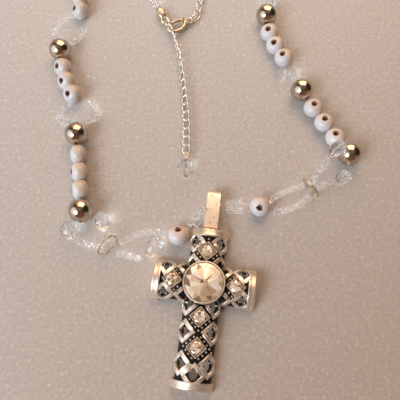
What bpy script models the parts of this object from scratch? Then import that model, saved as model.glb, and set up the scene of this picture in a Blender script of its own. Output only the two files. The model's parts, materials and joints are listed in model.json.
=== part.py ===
"""Beaded rosary-style necklace with an openwork cross pendant, laid flat on a table.

The origin is on the table plane, below the point where the strands pass through the bail.
+X is to the right, +Y runs from the cross up through the bail, +Z is up from the table.
Lengths below are in millimetres and are scaled to metres when a mesh is made.
"""
import math

import bmesh
import bpy
from mathutils import Matrix, Vector

MM = 0.001

# Beads and cord
STEEL_R = 3.9
STEEL_BORE_R = 1.0
WHITE_R = 3.4
WHITE_HALF = 2.8
CORD_R = 0.25
SEED_R = 1.1
SEED_LENGTH = 2.5
SEED_PITCH = 2.9
CRYSTAL_R = 2.8
CRYSTAL_LENGTH = 6.4
TIP_CRYSTAL_R = 2.4
TIP_CRYSTAL_LENGTH = 5.6
END_GAP = 0.45
CORD_STUB = 0.15
RUN_SIDES = 8
STEEL_SIDES = 10
SEED_SIDES = 4

# Heights of the joints between sections, and of a seed strand lying on the table
Z_BEAD_JOINT = 2.6
Z_STEEL_JOINT = 3.5
Z_SEED = 1.1
Z_RING_JOINT = 2.2
Z_CORD_END = 1.75

# Cross pendant: u runs across it and v along it, from the centre stone
CROSS_CENTRE = Vector((-3.2, -24.8, 0.0))
CROSS_TURN = math.radians(-7.0)
ARM_WIDTH = 11.6
ARM_RISE = 5.2
ARM_WALL = 1.3
TOP_REACH = 16.9
SIDE_REACH = 15.8
BOTTOM_REACH = 30.4
CAP_THICK = 2.1
CAP_WIDTH = 12.8
CAP_RISE = 5.9
BEZEL_R = 6.4
BEZEL_WALL = 0.45
BEZEL_FLOOR_Z = 4.35
BEZEL_RIM_Z = 7.0
STONE_STEP = 9.7
SETTING_HALF = 3.1
SETTING_FOOT_Z = 3.5
SETTING_TOP_Z = 6.0
SMALL_STONE_R = 1.75
STONE_CLEARANCE = 0.12
CUT_LOW = -1.0
CUT_HIGH = 9.0
HOLE_HALF_U = 0.95
HOLE_HALF_V = 1.7

# Bail: a flat strip bent into a long loop around the strands
BAIL_WIDTH = 4.2
BAIL_STRIP = 0.8
BAIL_LENGTH = 13.2
BAIL_HEIGHT = 5.0

# Binder rings, clasp and extender chain
BINDER_R = 3.6
BINDER_WIRE_R = 0.4
LINK_WIDTH = 2.9
LINK_WIRE_R = 0.33
END_RING_R = 2.1
END_RING_WIRE_R = 0.33
PIN_R = 0.27
PIN_EYE_R = 0.85
PIN_LENGTH = 8.4
DROP_R = 3.1
DROP_LENGTH = 6.2
DROP_RISE = 0.24
CORD_EYE_R = 1.15
CLASP_EYE_R = 1.2
EYE_WIRE_R = 0.38

COLOURS = {
    "clear_crystal": ((0.93, 0.93, 0.92), 0.05, 0.0),
    "pearl_white": ((0.88, 0.87, 0.88), 0.35, 0.0),
    "mirror_steel": ((0.50, 0.46, 0.42), 0.08, 1.0),
    "antique_silver": ((0.55, 0.50, 0.45), 0.30, 1.0),
    "bright_silver": ((0.80, 0.76, 0.70), 0.20, 1.0),
    "rhinestone": ((0.85, 0.80, 0.72), 0.05, 0.0),
}


class Path:
    """A polyline that is read by the distance run along it."""

    def __init__(self, points, closed=False):
        self.points = list(points)
        if closed:
            self.points.append(self.points[0])
        self.reach = [0.0]
        for near, far in zip(self.points, self.points[1:]):
            self.reach.append(self.reach[-1] + (far - near).length)
        self.length = self.reach[-1]

    def at(self, distance):
        distance = min(max(distance, 0.0), self.length)
        for i in range(1, len(self.reach)):
            if distance <= self.reach[i] or i == len(self.reach) - 1:
                part = (distance - self.reach[i - 1]) / (self.reach[i] - self.reach[i - 1])
                return self.points[i - 1].lerp(self.points[i], part)


class Body:
    """A rigid group. Its empty sits on the joint that carries it, and holds the joint's facts."""

    made = {}

    def __init__(self, name, parent, pivot, axis=(0, 0, 1), limits=None):
        self.name = name
        self.parent = parent
        self.pivot = Vector(pivot)
        self.axis = Vector(axis).normalized()
        self.limits = limits
        self.nodes = []
        self.empty = bpy.data.objects.new(f"joint_{name}", None)
        self.empty.empty_display_size = 2 * MM
        bpy.context.scene.collection.objects.link(self.empty)
        start = self.parent.pivot if parent else Vector()
        self.empty.location = (self.pivot - start) * MM
        if parent:
            self.empty.parent = parent.empty
            self.empty["joint_axis"] = list(self.axis)
            self.empty["joint_limits_deg"] = "continuous" if limits is None else list(limits)
        Body.made[name] = self


def material(name):
    found = bpy.data.materials.get(name)
    if found:
        return found
    colour, roughness, metallic = COLOURS[name]
    made = bpy.data.materials.new(name)
    made.use_nodes = True
    shader = made.node_tree.nodes["Principled BSDF"]
    shader.inputs["Base Color"].default_value = (*colour, 1.0)
    shader.inputs["Roughness"].default_value = roughness
    shader.inputs["Metallic"].default_value = metallic
    made.diffuse_color = (*colour, 1.0)
    return made


def new_object(name, bm, body, finish, helper=False):
    """Turns a bmesh in world millimetres into an object of a body, scaled to metres."""
    bmesh.ops.recalc_face_normals(bm, faces=bm.faces)
    for vertex in bm.verts:
        vertex.co -= body.pivot
    mesh = bpy.data.meshes.new(name)
    bm.to_mesh(mesh)
    bm.free()
    mesh.shade_smooth()
    mesh.set_sharp_from_angle(angle=math.radians(40))
    mesh.materials.append(material(finish))
    made = bpy.data.objects.new(name, mesh)
    bpy.context.scene.collection.objects.link(made)
    made.parent = body.empty
    made.scale = (MM, MM, MM)
    if helper:
        made.hide_render = True
        made.display_type = "WIRE"
    else:
        body.nodes.append(name)
    return made


def boolean(target, operation, name, bm, body, use_self=False, solver="EXACT"):
    """Joins or cuts the target with a hidden helper object that is made from a bmesh."""
    helper = new_object(name, bm, body, target.data.materials[0].name, helper=True)
    modifier = target.modifiers.new(f"{operation.lower()}_{name}", "BOOLEAN")
    modifier.operation = operation
    modifier.solver = solver
    if solver == "EXACT":
        modifier.use_self = use_self
    modifier.object = helper


def sweep_into(bm, points, radii, sides, closed=False, roll=0.0):
    """Adds a tube along points, with a radius at each one, and flat caps where it is open."""
    rings = []
    count = len(points)
    for i, point in enumerate(points):
        before = points[i - 1] if closed or i else points[0]
        after = points[(i + 1) % count] if closed or i < count - 1 else points[-1]
        along = (after - before).normalized()
        side = along.cross(Vector((0, 0, 1)))
        if side.length < 1e-4:
            side = Vector((1, 0, 0))
        side.normalize()
        up = side.cross(along)
        ring = []
        for k in range(sides):
            angle = roll + 2 * math.pi * k / sides
            offset = side * math.cos(angle) + up * math.sin(angle)
            ring.append(bm.verts.new(point + offset * radii[i]))
        rings.append(ring)
    for i in range(count if closed else count - 1):
        near, far = rings[i], rings[(i + 1) % count]
        for k in range(sides):
            bm.faces.new((near[k], near[(k + 1) % sides], far[(k + 1) % sides], far[k]))
    if not closed:
        bm.faces.new(rings[0])
        bm.faces.new(rings[-1])


def turn_into(bm, profile, centre, axis, sides, closed_profile=False):
    """Adds the solid made by turning (distance along axis, radius) points about the axis."""
    axis = Vector(axis).normalized()
    side = axis.orthogonal().normalized()
    up = axis.cross(side)
    rings = []
    for along, radius in profile:
        ring = []
        for k in range(sides):
            angle = 2 * math.pi * k / sides
            offset = side * math.cos(angle) + up * math.sin(angle)
            ring.append(bm.verts.new(Vector(centre) + axis * along + offset * radius))
        rings.append(ring)
    pairs = list(zip(rings, rings[1:]))
    if closed_profile:
        pairs.append((rings[-1], rings[0]))
    for near, far in pairs:
        for k in range(sides):
            bm.faces.new((near[k], near[(k + 1) % sides], far[(k + 1) % sides], far[k]))
    if not closed_profile:
        bm.faces.new(rings[0])
        bm.faces.new(rings[-1])


def ring_points(centre, radius, normal, count, stretch=0.0, along=None):
    """Points of a circle, or of a link whose two half circles stand stretch apart."""
    normal = Vector(normal).normalized()
    long_way = Vector(along).normalized() if along else normal.orthogonal().normalized()
    short_way = normal.cross(long_way)
    points = []
    for k in range(count):
        angle = 2 * math.pi * (k + 0.5) / count
        shift = math.copysign(stretch / 2, math.cos(angle))
        flat = long_way * (radius * math.cos(angle) + shift)
        points.append(Vector(centre) + flat + short_way * radius * math.sin(angle))
    return points


def wire_ring_into(bm, points, wire_r, sides):
    """Adds a closed wire whose cross-section follows the plane that the points lie in."""
    centre = sum(points, Vector()) / len(points)
    normal = (points[0] - centre).cross(points[1] - centre).normalized()
    rings = []
    count = len(points)
    for i, point in enumerate(points):
        along = (points[(i + 1) % count] - points[i - 1]).normalized()
        side = along.cross(normal)
        ring = []
        for k in range(sides):
            angle = 2 * math.pi * k / sides
            offset = side * math.cos(angle) + normal * math.sin(angle)
            ring.append(bm.verts.new(point + offset * wire_r))
        rings.append(ring)
    for i in range(count):
        near, far = rings[i], rings[(i + 1) % count]
        for k in range(sides):
            bm.faces.new((near[k], near[(k + 1) % sides], far[(k + 1) % sides], far[k]))


def bowed(start, end, bow, steps=40):
    """A path from start to end that bows to its left by bow, and settles between their heights."""
    chord = end - start
    left = Vector((-chord.y, chord.x, 0)).normalized()
    points = []
    for i in range(steps + 1):
        part = i / steps
        points.append(start + chord * part + left * (bow * 4 * part * (1 - part)))
    return points


# --- Strand sections ---------------------------------------------------------------------------


def bead_places(path, beads):
    """(kind, distance) of each bead of a run, with equal gaps between them."""
    sizes = [2 * (STEEL_R if kind == "S" else WHITE_HALF) for kind in beads]
    gap = (path.length - sum(sizes)) / (len(beads) + 1)
    places, reached = [], gap
    for kind, size in zip(beads, sizes):
        places.append((kind, reached + size / 2))
        reached += size + gap
    return places


def run_height(places, start, end, length, distance):
    """Height of the cord, eased between the joints at the ends and the bead centres."""
    knots = [(0.0, start.z)]
    knots += [(s, STEEL_R if kind == "S" else WHITE_R) for kind, s in places]
    knots.append((length, end.z))
    for (s0, z0), (s1, z1) in zip(knots, knots[1:]):
        if distance <= s1:
            part = (distance - s0) / (s1 - s0)
            return z0 + (z1 - z0) * (1 - math.cos(math.pi * part)) / 2
    return end.z


def bead_run(name, body, start, end, bow, beads):
    """White beads held on their cord as one node. Each steel bead is a body that turns on the cord."""
    path = Path(bowed(start, end, bow))
    places = bead_places(path, beads)
    stations = [(CORD_STUB, CORD_R)]
    for kind, centre in places:
        if kind == "S":
            stations += [(centre + shift, CORD_R) for shift in (-STEEL_R, 0.0, STEEL_R)]
            continue
        first = math.asin(CORD_R / WHITE_R)
        for k in range(6):
            turn = first + (math.pi - 2 * first) * k / 5
            stations.append((centre - WHITE_HALF * math.cos(turn), WHITE_R * math.sin(turn)))
    stations.append((path.length - CORD_STUB, CORD_R))

    def spot(distance):
        flat = path.at(distance)
        return Vector((flat.x, flat.y, run_height(places, start, end, path.length, distance)))

    bm = bmesh.new()
    sweep_into(bm, [spot(s) for s, _ in stations], [r for _, r in stations], RUN_SIDES)
    new_object(name, bm, body, "pearl_white")
    steels = [s for kind, s in places if kind == "S"]
    for number, s in enumerate(steels, 1):
        label = f"steel_bead_{name}_{number}"
        along = path.at(s + 0.5) - path.at(s - 0.5)
        steel_bead(label, body, spot(s), Vector((along.x, along.y, 0)))


def steel_bead(name, parent, centre, axis):
    body = Body(name, parent, centre, axis)
    mouth = math.asin(STEEL_BORE_R / STEEL_R)
    profile = []
    for k in range(7):
        turn = mouth + (math.pi - 2 * mouth) * k / 6
        profile.append((-STEEL_R * math.cos(turn), STEEL_R * math.sin(turn)))
    bm = bmesh.new()
    turn_into(bm, profile, centre, axis, STEEL_SIDES, closed_profile=True)
    new_object(name, bm, body, "mirror_steel")


def oval_points(start, end, left, right, squareness, lie, steps=120):
    """A closed outline between two joints, bulging by left and right of the line between them."""
    chord = end - start
    flat = Vector((chord.x, chord.y, 0))
    along = flat.normalized()
    aside = Vector((-along.y, along.x, 0))
    half = flat.length / 2 - END_GAP
    middle = (start + end) / 2
    points = []
    for i in range(steps):
        angle = 2 * math.pi * i / steps
        c, s = math.cos(angle), math.sin(angle)
        far = math.copysign(abs(c) ** (2 / squareness), c)
        wide = math.copysign(abs(s) ** (2 / squareness), s) * (left if s > 0 else right)
        near_end = start.z if far < 0 else end.z
        height = lie + (near_end - lie) * abs(far) ** 3
        spot = middle + along * far * half + aside * wide
        points.append(Vector((spot.x, spot.y, height)))
    return points


def seed_stations(first, last):
    """(distance, radius) along a strand where seed beads fill the stretch from first to last."""
    count = max(int((last - first) / SEED_PITCH), 1)
    spare = (last - first - count * SEED_PITCH) / 2
    stations = []
    for i in range(count):
        centre = first + spare + SEED_PITCH * (i + 0.5)
        near, far = centre - SEED_LENGTH / 2, centre + SEED_LENGTH / 2
        stations += [(near, CORD_R), (near + 0.01, SEED_R), (far - 0.01, SEED_R), (far, CORD_R)]
    return stations


def crystal_stations(middle, length, radius):
    """(distance, radius) along a strand for one faceted crystal held on it."""
    near, far = middle - length / 2, middle + length / 2
    mouth, belt = 0.4 * radius, 0.3 * length
    return [
        (near, CORD_R),
        (near + 0.01, mouth),
        (near + belt, radius),
        (far - belt, radius),
        (far - 0.01, mouth),
        (far, CORD_R),
    ]


def seed_oval(name, body, start, end, left, right, squareness=4.0, bare=2.4, crystal_r=0.0):
    """Two strands of seed beads that part and meet again, with bare cord where they turn.

    Where crystal_r is set, each strand holds one crystal of that radius in place of its seeds.
    """
    path = Path(oval_points(start, end, left, right, squareness, max(crystal_r, Z_SEED)), closed=True)
    half = path.length / 2
    stations = []
    for first in (0.0, half):
        stations += [(first + d, CORD_R) for d in (0.0, bare * 0.3, bare * 0.6)]
        if crystal_r:
            stations += crystal_stations(first + half / 2, 2.2 * crystal_r, crystal_r)
        else:
            stations += seed_stations(first + bare, first + half - bare)
        stations += [(first + half - d, CORD_R) for d in (bare * 0.6, bare * 0.3)]
    bm = bmesh.new()
    points = [path.at(s) for s, _ in stations]
    sweep_into(bm, points, [r for _, r in stations], SEED_SIDES, closed=True)
    new_object(name, bm, body, "clear_crystal")


def seed_strand(name, body, corners, bare_spots, bare=2.2, tip_crystal=False):
    """An open strand through corners. The corners listed in bare_spots are left as plain cord.

    Where tip_crystal is set, the strand ends in a crystal.
    """
    path = Path([Vector(c) for c in corners])
    tip = path.length - CORD_STUB - TIP_CRYSTAL_LENGTH
    breaks = [0.0] + [path.reach[i] for i in bare_spots] + [path.length]
    stations = [(0.0, CORD_R)]
    for first, last in zip(breaks, breaks[1:]):
        if first > 0:
            stations.append((first, CORD_R))
        near = first + (bare if first > 0 else 0.3)
        far = last - (bare if last < path.length else 0.3)
        if tip_crystal and last == path.length:
            stations += seed_stations(near, tip - 0.3)
            stations += crystal_stations(tip + TIP_CRYSTAL_LENGTH / 2, TIP_CRYSTAL_LENGTH, TIP_CRYSTAL_R)
        else:
            stations += seed_stations(near, far)
    stations.append((path.length, CORD_R))
    bm = bmesh.new()
    points = [path.at(s) for s, _ in stations]
    sweep_into(bm, points, [r for _, r in stations], SEED_SIDES)
    new_object(name, bm, body, "clear_crystal")


def crystal(name, body, centre, axis, radius=CRYSTAL_R, length=CRYSTAL_LENGTH):
    profile = ((-0.5, 0.35), (-0.2, 1.0), (0.2, 1.0), (0.5, 0.35))
    bm = bmesh.new()
    turn_into(bm, [(a * length, r * radius) for a, r in profile], centre, axis, 8)
    new_object(name, bm, body, "clear_crystal")


def binder_ring(name, parent, middle, along, lean):
    """A jump ring that leans around the strands, its lowest point on the table. It tips along them."""
    along = Vector(along).normalized()
    across = along.cross(Vector((0, 0, 1))).normalized()
    lean = math.radians(lean)
    centre = Vector((*middle, BINDER_R * math.cos(lean) + BINDER_WIRE_R))
    body = Body(name, parent, centre, across, (-5, 5))
    normal = Matrix.Rotation(lean, 3, across) @ along
    bm = bmesh.new()
    wire_ring_into(bm, ring_points(centre, BINDER_R, normal, 16), BINDER_WIRE_R, 6)
    new_object(name, bm, body, "bright_silver")


def joint_body(name, parent, pivot, toward, motion, limit):
    """A strand section's body. It bends in the table plane, or lifts off it."""
    toward = Vector((toward.x, toward.y, 0)).normalized()
    if motion == "lift":
        return Body(name, parent, pivot, toward.cross(Vector((0, 0, 1))), (-limit, limit))
    if motion == "drop":
        return Body(name, parent, pivot, -toward.cross(Vector((0, 0, 1))), (-limit, limit))
    turn = -1.0 if motion == "bend_right" else 1.0
    return Body(name, parent, pivot, (0, 0, turn), (0, limit))


# Each row: section, what it holds, where it ends (x, y, z), bow to the left, motion, limit in degrees.
# "W" and "S" are white and steel beads on their cord. "oval" holds two seed strands, with
# how far they stand left and right of the middle and how square their outline is.
RIGHT_START = (11.8, 0.1, Z_BEAD_JOINT)
RIGHT_SECTIONS = (
    ("spacer", "W", (18.2, -0.2, Z_BEAD_JOINT), 0.0, "bend_right", 20),
    ("oval_1", ("oval", 3.0, 2.9, 2.6), (31.6, 6.0, Z_RING_JOINT), 0.0, "lift", 20),
    ("branch", "fork", (48.0, 13.9, Z_STEEL_JOINT), 0.0, "bend_right", 20),
    ("run_1", "SWWWS", (28.9, 46.6, Z_STEEL_JOINT), 0.3, "bend_right", 25),
    ("oval_2", ("oval", 3.0, 1.9, 2.2, 2.4, 2.1), (27.7, 53.6, Z_BEAD_JOINT), 0.0, "lift", 25),
    ("run_2", "WWWS", (20.6, 78.4, Z_STEEL_JOINT), 2.6, "bend_right", 25),
    ("oval_3", ("oval", 2.4, 2.2, 2.6), (24.0, 89.6, Z_BEAD_JOINT), 0.0, "drop", 25),
    ("run_3", "WWWS", (20.4, 115.2, Z_STEEL_JOINT), -1.2, "bend_right", 25),
    ("oval_4", ("oval", 1.6, 1.6, 2.2), (10.8, 119.8, Z_BEAD_JOINT), 0.0, "lift", 20),
    ("run_4", "WWW", (-0.4, 105.8, Z_BEAD_JOINT), -1.6, "drop", 20),
    ("oval_5", ("oval", 1.3, 1.3, 3.0), (-1.5, 97.6, Z_CORD_END), 0.0, "lift", 20),
)
LEFT_START = (-8.7, -7.6, Z_BEAD_JOINT)
LEFT_SECTIONS = (
    ("spacer", "W", (-13.6, -11.6, Z_BEAD_JOINT), 0.0, "lift", 20),
    ("oval_1", "crystal_oval", (-33.4, -12.8, Z_RING_JOINT), 0.0, "drop", 20),
    ("branch", "fork", (-41.9, -6.2, Z_STEEL_JOINT), 0.0, "lift", 14),
    ("run_1", "SWWWS", (-46.8, 30.0, Z_STEEL_JOINT), 0.0, "bend_left", 10),
    ("oval_2", ("oval", 6.6, 7.4, 2.0), (-47.6, 38.6, Z_BEAD_JOINT), 0.0, "drop", 25),
    ("run_2", "WWWS", (-55.2, 63.2, Z_STEEL_JOINT), 1.8, "bend_left", 14),
    ("oval_3", ("oval", 6.8, 3.4, 2.2, 4.6), (-49.4, 73.8, Z_BEAD_JOINT), 0.0, "lift", 25),
    ("run_3", "WWWS", (-53.6, 99.6, Z_STEEL_JOINT), -1.2, "bend_right", 10),
    ("oval_4", ("oval", 3.0, 3.0, 2.4), (-50.6, 110.8, Z_BEAD_JOINT), 0.0, "drop", 25),
    ("run_4", "WWW", (-38.0, 120.8, Z_BEAD_JOINT), 3.6, "bend_right", 10),
    ("oval_5", ("oval", 1.6, 1.6, 2.4), (-28.6, 103.6, Z_SEED + 0.4), 0.0, "lift", 20),
    ("oval_6", ("oval", 1.6, 1.6, 2.6), (-20.1, 79.0, Z_CORD_END), 0.0, "drop", 20),
)


# Which way each binder ring faces, and how far it leans over, in degrees
BINDER_SET = {"right": ((0.8, 0.6, 0.0), 12), "left": ((0.88, -0.47, 0.0), 30)}


def strand_section(side, row, parent, start):
    label, holds, end, bow, motion, limit = row
    name = f"{side}_{label}"
    start, end = Vector(start), Vector(end)
    body = joint_body(name, parent, start, end - start, motion, limit)
    if holds == "fork":
        fork = right_fork if side == "right" else left_fork
        fork(name, body, start, end)
    elif holds == "crystal_oval":
        crystal_oval(name, body, start, end)
    elif isinstance(holds, tuple):
        seed_oval(name, body, start, end, *holds[1:])
    else:
        bead_run(name, body, start, end, bow, holds)
    return body, end


def crystal_oval(name, body, start, end):
    """The first left oval, which is wide. Its lower strand ends in a crystal by the spacer bead."""
    crystal(f"{name}_crystal", body, (-18.9, -13.6, 2.9), (0.64, 0.77, 0))
    corners = (
        (-22.4, -17.2, 1.3),
        (-24.9, -16.4, Z_SEED),
        (-29.7, -15.0, Z_SEED),
        (end.x + 1.9, end.y - 1.3, 2.1),
        (end.x + 0.45, end.y, end.z),
        (end.x + 2.2, end.y + 0.3, 2.1),
        (-28.2, -10.5, Z_SEED),
        (-23.7, -8.6, Z_SEED),
        (-18.8, -8.0, Z_SEED),
        (-16.4, -8.5, 1.4),
        (start.x - 1.0, start.y + 0.7, start.z),
    )
    seed_strand(name, body, corners, (4,), 5.0)


def right_fork(name, body, start, end):
    """Two strands leave the binder ring: one to a faceted crystal, one to the steel bead."""
    corners = (
        (37.3, 15.3, 6.4),
        (36.6, 14.3, 2.8),
        (35.2, 12.6, Z_SEED),
        (33.4, 9.6, Z_SEED),
        (start.x + 0.3, start.y + 0.5, start.z),
        (35.4, 7.4, Z_SEED),
        (39.4, 9.0, TIP_CRYSTAL_R),
        (46.0, 11.6, TIP_CRYSTAL_R + 0.1),
    )
    seed_strand(name, body, corners, (4,), 2.9, tip_crystal=True)
    crystal(f"{name}_crystal", body, (40.2, 18.0, 8.0), (0.76, 0.64, 0.2), 2.3)


def left_fork(name, body, start, end):
    """Two strands leave the binder ring, and each ends in a faceted crystal under the steel bead."""
    corners = (
        (-34.0, -8.6, 2.6),
        (-33.9, -10.4, 2.3),
        (start.x - 0.4, start.y, start.z),
        (-36.8, -13.2, 1.6),
        (-40.7, -12.2, Z_SEED),
        (-43.6, -11.3, 2.0),
    )
    seed_strand(name, body, corners, (2,), 2.6)
    crystal(f"{name}_outer_crystal", body, (-46.0, -7.9, 2.9), (-0.55, 0.83, 0.0))
    crystal(f"{name}_inner_crystal", body, (-35.4, -5.0, 2.9), (-0.35, 0.93, 0.0))


def centre_strand(root):
    """Two strands that pass side by side through the bail, bare inside it. They are the fixed body."""
    left, right = Vector(LEFT_START), Vector(RIGHT_START)
    bail = Vector((0, 0, BAIL_HEIGHT / 2))
    stations = []
    for offset, order in ((1.2, 1), (-1.2, -1)):
        corners = [
            left + Vector((0.2, 0.2, -0.6)),
            Vector((-6.5 - offset * 0.6, -5.0 + offset * 0.5, Z_SEED + 0.45)),
            Vector((-4.4, -2.4 + offset * 0.8, Z_SEED + 0.35)),
            bail + Vector((-2.5, -0.2 + offset * 0.35, 0)),
            bail + Vector((2.5, offset * 0.35, 0)),
            Vector((4.2, 0.4 + offset, Z_SEED + 0.3)),
            Vector((9.4, 0.4 + offset * 0.95, Z_SEED + 0.2)),
            right + Vector((-0.3, 0, -0.6)),
        ]
        strand = Path(corners)
        side = [(0.0, CORD_R), (strand.reach[1] * 0.5, CORD_R)]
        side += seed_stations(strand.reach[1] * 0.6, strand.reach[3] - 1.2)
        side += [(strand.reach[3], CORD_R), (strand.reach[4], CORD_R)]
        side += seed_stations(strand.reach[4] + 1.4, strand.reach[6] + 0.4)
        side.append((strand.length - 0.8, CORD_R))
        placed = [(strand.at(s), r) for s, r in side]
        stations += placed if order == 1 else placed[::-1]
        if order == 1:
            stations.append((strand.at(strand.length), CORD_R))
    del stations[-1]
    bm = bmesh.new()
    sweep_into(bm, [p for p, _ in stations], [r for _, r in stations], SEED_SIDES, closed=True)
    new_object("centre_strand", bm, root, "clear_crystal")


# --- Cross pendant -----------------------------------------------------------------------------


def on_cross(u, v, z=0.0):
    return CROSS_CENTRE + Matrix.Rotation(CROSS_TURN, 3, "Z") @ Vector((u, v, z))


def half_round_into(bm, width, rise, low, high, across, floor=0.0, steps=10):
    """Adds a half-round bar between low and high, along v, or along u where across is set."""
    ends = []
    for reach in (low, high):
        arc = [math.pi * k / steps for k in range(steps + 1)]
        outline = [(width / 2 * math.cos(a), max(rise * math.sin(a), floor)) for a in arc]
        if floor < 0:
            outline += [(-width / 2, floor), (width / 2, floor)]
        ring = []
        for side, height in outline:
            u, v = (reach, side) if across else (side, reach)
            ring.append(bm.verts.new(on_cross(u, v, height)))
        ends.append(ring)
    near, far = ends
    count = len(near)
    for k in range(count):
        bm.faces.new((near[k], near[(k + 1) % count], far[(k + 1) % count], far[k]))
    bm.faces.new(near)
    bm.faces.new(far)


def prism_into(bm, outline, low, high):
    near = [bm.verts.new(on_cross(u, v, low)) for u, v in outline]
    far = [bm.verts.new(on_cross(u, v, high)) for u, v in outline]
    count = len(outline)
    for k in range(count):
        bm.faces.new((near[k], near[(k + 1) % count], far[(k + 1) % count], far[k]))
    bm.faces.new(near)
    bm.faces.new(far)


def circle_outline(u, v, radius, count):
    turns = [2 * math.pi * k / count for k in range(count)]
    return [(u + radius * math.cos(t), v + radius * math.sin(t)) for t in turns]


def diamond_outline(u, v, half_u, half_v):
    return [(u + half_u, v), (u, v + half_v), (u - half_u, v), (u, v - half_v)]


def stone_places():
    """(name, u, v) of the five small stones around and below the centre stone."""
    return (
        ("top", 0.0, STONE_STEP),
        ("left", -STONE_STEP, 0.0),
        ("right", STONE_STEP, 0.0),
        ("lower_1", 0.0, -STONE_STEP - 0.3),
        ("lower_2", 0.0, -2 * STONE_STEP + 0.7),
    )


def hole_places():
    """(u, v, whether it lies along u) of the openings in the weave."""
    places = [(side * 4.2, v, False) for side in (-1, 1) for v in (12.2, -14.4, -23.4)]
    places += [(side * 11.6, v, True) for side in (-1, 1) for v in (-4.1, 4.1)]
    places += [(side * 4.4, -6.6, False) for side in (-1, 1)]
    places.append((0.0, -25.6, False))
    return places


def cross_casting(body):
    """The one-piece casting: a half-round cross, hollow behind, with caps and square settings."""
    inner_top = TOP_REACH - CAP_THICK
    inner_side = SIDE_REACH - CAP_THICK
    inner_bottom = BOTTOM_REACH - CAP_THICK
    into_cap = 0.6
    cap_floor = 1.0

    bm = bmesh.new()
    half_round_into(bm, ARM_WIDTH, ARM_RISE, -inner_bottom - into_cap, inner_top + into_cap, False, 0.12)
    casting = new_object("cross_casting", bm, body, "antique_silver")

    def cast(operation, name, bm):
        boolean(casting, operation, name, bm, body, solver="MANIFOLD")

    bm = bmesh.new()
    half_round_into(bm, ARM_WIDTH, ARM_RISE, -inner_side - into_cap, inner_side + into_cap, True, 0.2)
    cast("UNION", "cross_arms", bm)

    width, rise = ARM_WIDTH - 2 * ARM_WALL, ARM_RISE - ARM_WALL
    bm = bmesh.new()
    half_round_into(bm, width, rise, cap_floor - inner_bottom, inner_top - cap_floor, False, CUT_LOW)
    cast("DIFFERENCE", "hollow_tall", bm)
    bm = bmesh.new()
    half_round_into(bm, width, rise, cap_floor - inner_side, inner_side - cap_floor, True, CUT_LOW)
    cast("DIFFERENCE", "hollow_wide", bm)

    bm = bmesh.new()
    prism_into(bm, circle_outline(0, 0, BEZEL_R - 1.4, 20), CUT_LOW, CUT_HIGH)
    cast("DIFFERENCE", "bezel_well", bm)
    bm = bmesh.new()
    seat = circle_outline(0, 0, BEZEL_R + STONE_CLEARANCE, 24)
    prism_into(bm, seat, BEZEL_FLOOR_Z - STONE_CLEARANCE, CUT_HIGH)
    cast("DIFFERENCE", "bezel_seat", bm)

    bm = bmesh.new()
    for _, u, v in stone_places():
        square = diamond_outline(u, v, SETTING_HALF, SETTING_HALF)
        prism_into(bm, square, SETTING_FOOT_Z, SETTING_TOP_Z)
    cast("UNION", "settings", bm)
    bm = bmesh.new()
    for _, u, v in stone_places():
        pocket = circle_outline(u, v, SMALL_STONE_R + STONE_CLEARANCE, 12)
        prism_into(bm, pocket, SETTING_TOP_Z - 0.9, CUT_HIGH)
    cast("DIFFERENCE", "stone_pockets", bm)

    bm = bmesh.new()
    half_round_into(bm, CAP_WIDTH, CAP_RISE, inner_top, TOP_REACH, False)
    half_round_into(bm, CAP_WIDTH, CAP_RISE, -BOTTOM_REACH, -inner_bottom, False)
    half_round_into(bm, CAP_WIDTH, CAP_RISE, -SIDE_REACH, -inner_side, True)
    half_round_into(bm, CAP_WIDTH, CAP_RISE, inner_side, SIDE_REACH, True)
    cast("UNION", "end_caps", bm)

    bm = bmesh.new()
    for u, v, across in hole_places():
        half_u, half_v = (HOLE_HALF_V, HOLE_HALF_U) if across else (HOLE_HALF_U, HOLE_HALF_V)
        prism_into(bm, diamond_outline(u, v, half_u, half_v), CUT_LOW, CUT_HIGH)
    cast("DIFFERENCE", "weave_openings", bm)


def bezel_cup(body):
    """A round cup that holds the centre stone."""
    inner = BEZEL_R - BEZEL_WALL
    profile = (
        (BEZEL_FLOOR_Z, BEZEL_R),
        (BEZEL_RIM_Z, BEZEL_R),
        (BEZEL_RIM_Z, inner),
        (BEZEL_FLOOR_Z + 0.5, inner),
        (BEZEL_FLOOR_Z + 0.5, 2.0),
        (BEZEL_FLOOR_Z, 2.0),
    )
    bm = bmesh.new()
    turn_into(bm, profile, on_cross(0, 0), (0, 0, 1), 24, closed_profile=True)
    new_object("bezel_cup", bm, body, "bright_silver")


def centre_crystal(body):
    inner = BEZEL_R - BEZEL_WALL - 0.12
    profile = (
        (BEZEL_FLOOR_Z + 0.7, 2.6),
        (BEZEL_RIM_Z - 0.6, inner),
        (BEZEL_RIM_Z - 0.1, inner),
        (BEZEL_RIM_Z + 0.9, 0.5),
    )
    bm = bmesh.new()
    turn_into(bm, profile, on_cross(0, 0), (0, 0, 1), 16)
    new_object("centre_crystal", bm, body, "rhinestone")


def small_stone(name, body, u, v):
    profile = (
        (SETTING_TOP_Z - 0.75, 0.8),
        (SETTING_TOP_Z - 0.2, SMALL_STONE_R),
        (SETTING_TOP_Z + 0.35, 1.0),
    )
    bm = bmesh.new()
    turn_into(bm, profile, on_cross(u, v), (0, 0, 1), 8)
    new_object(f"stone_{name}", bm, body, "rhinestone")


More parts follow.
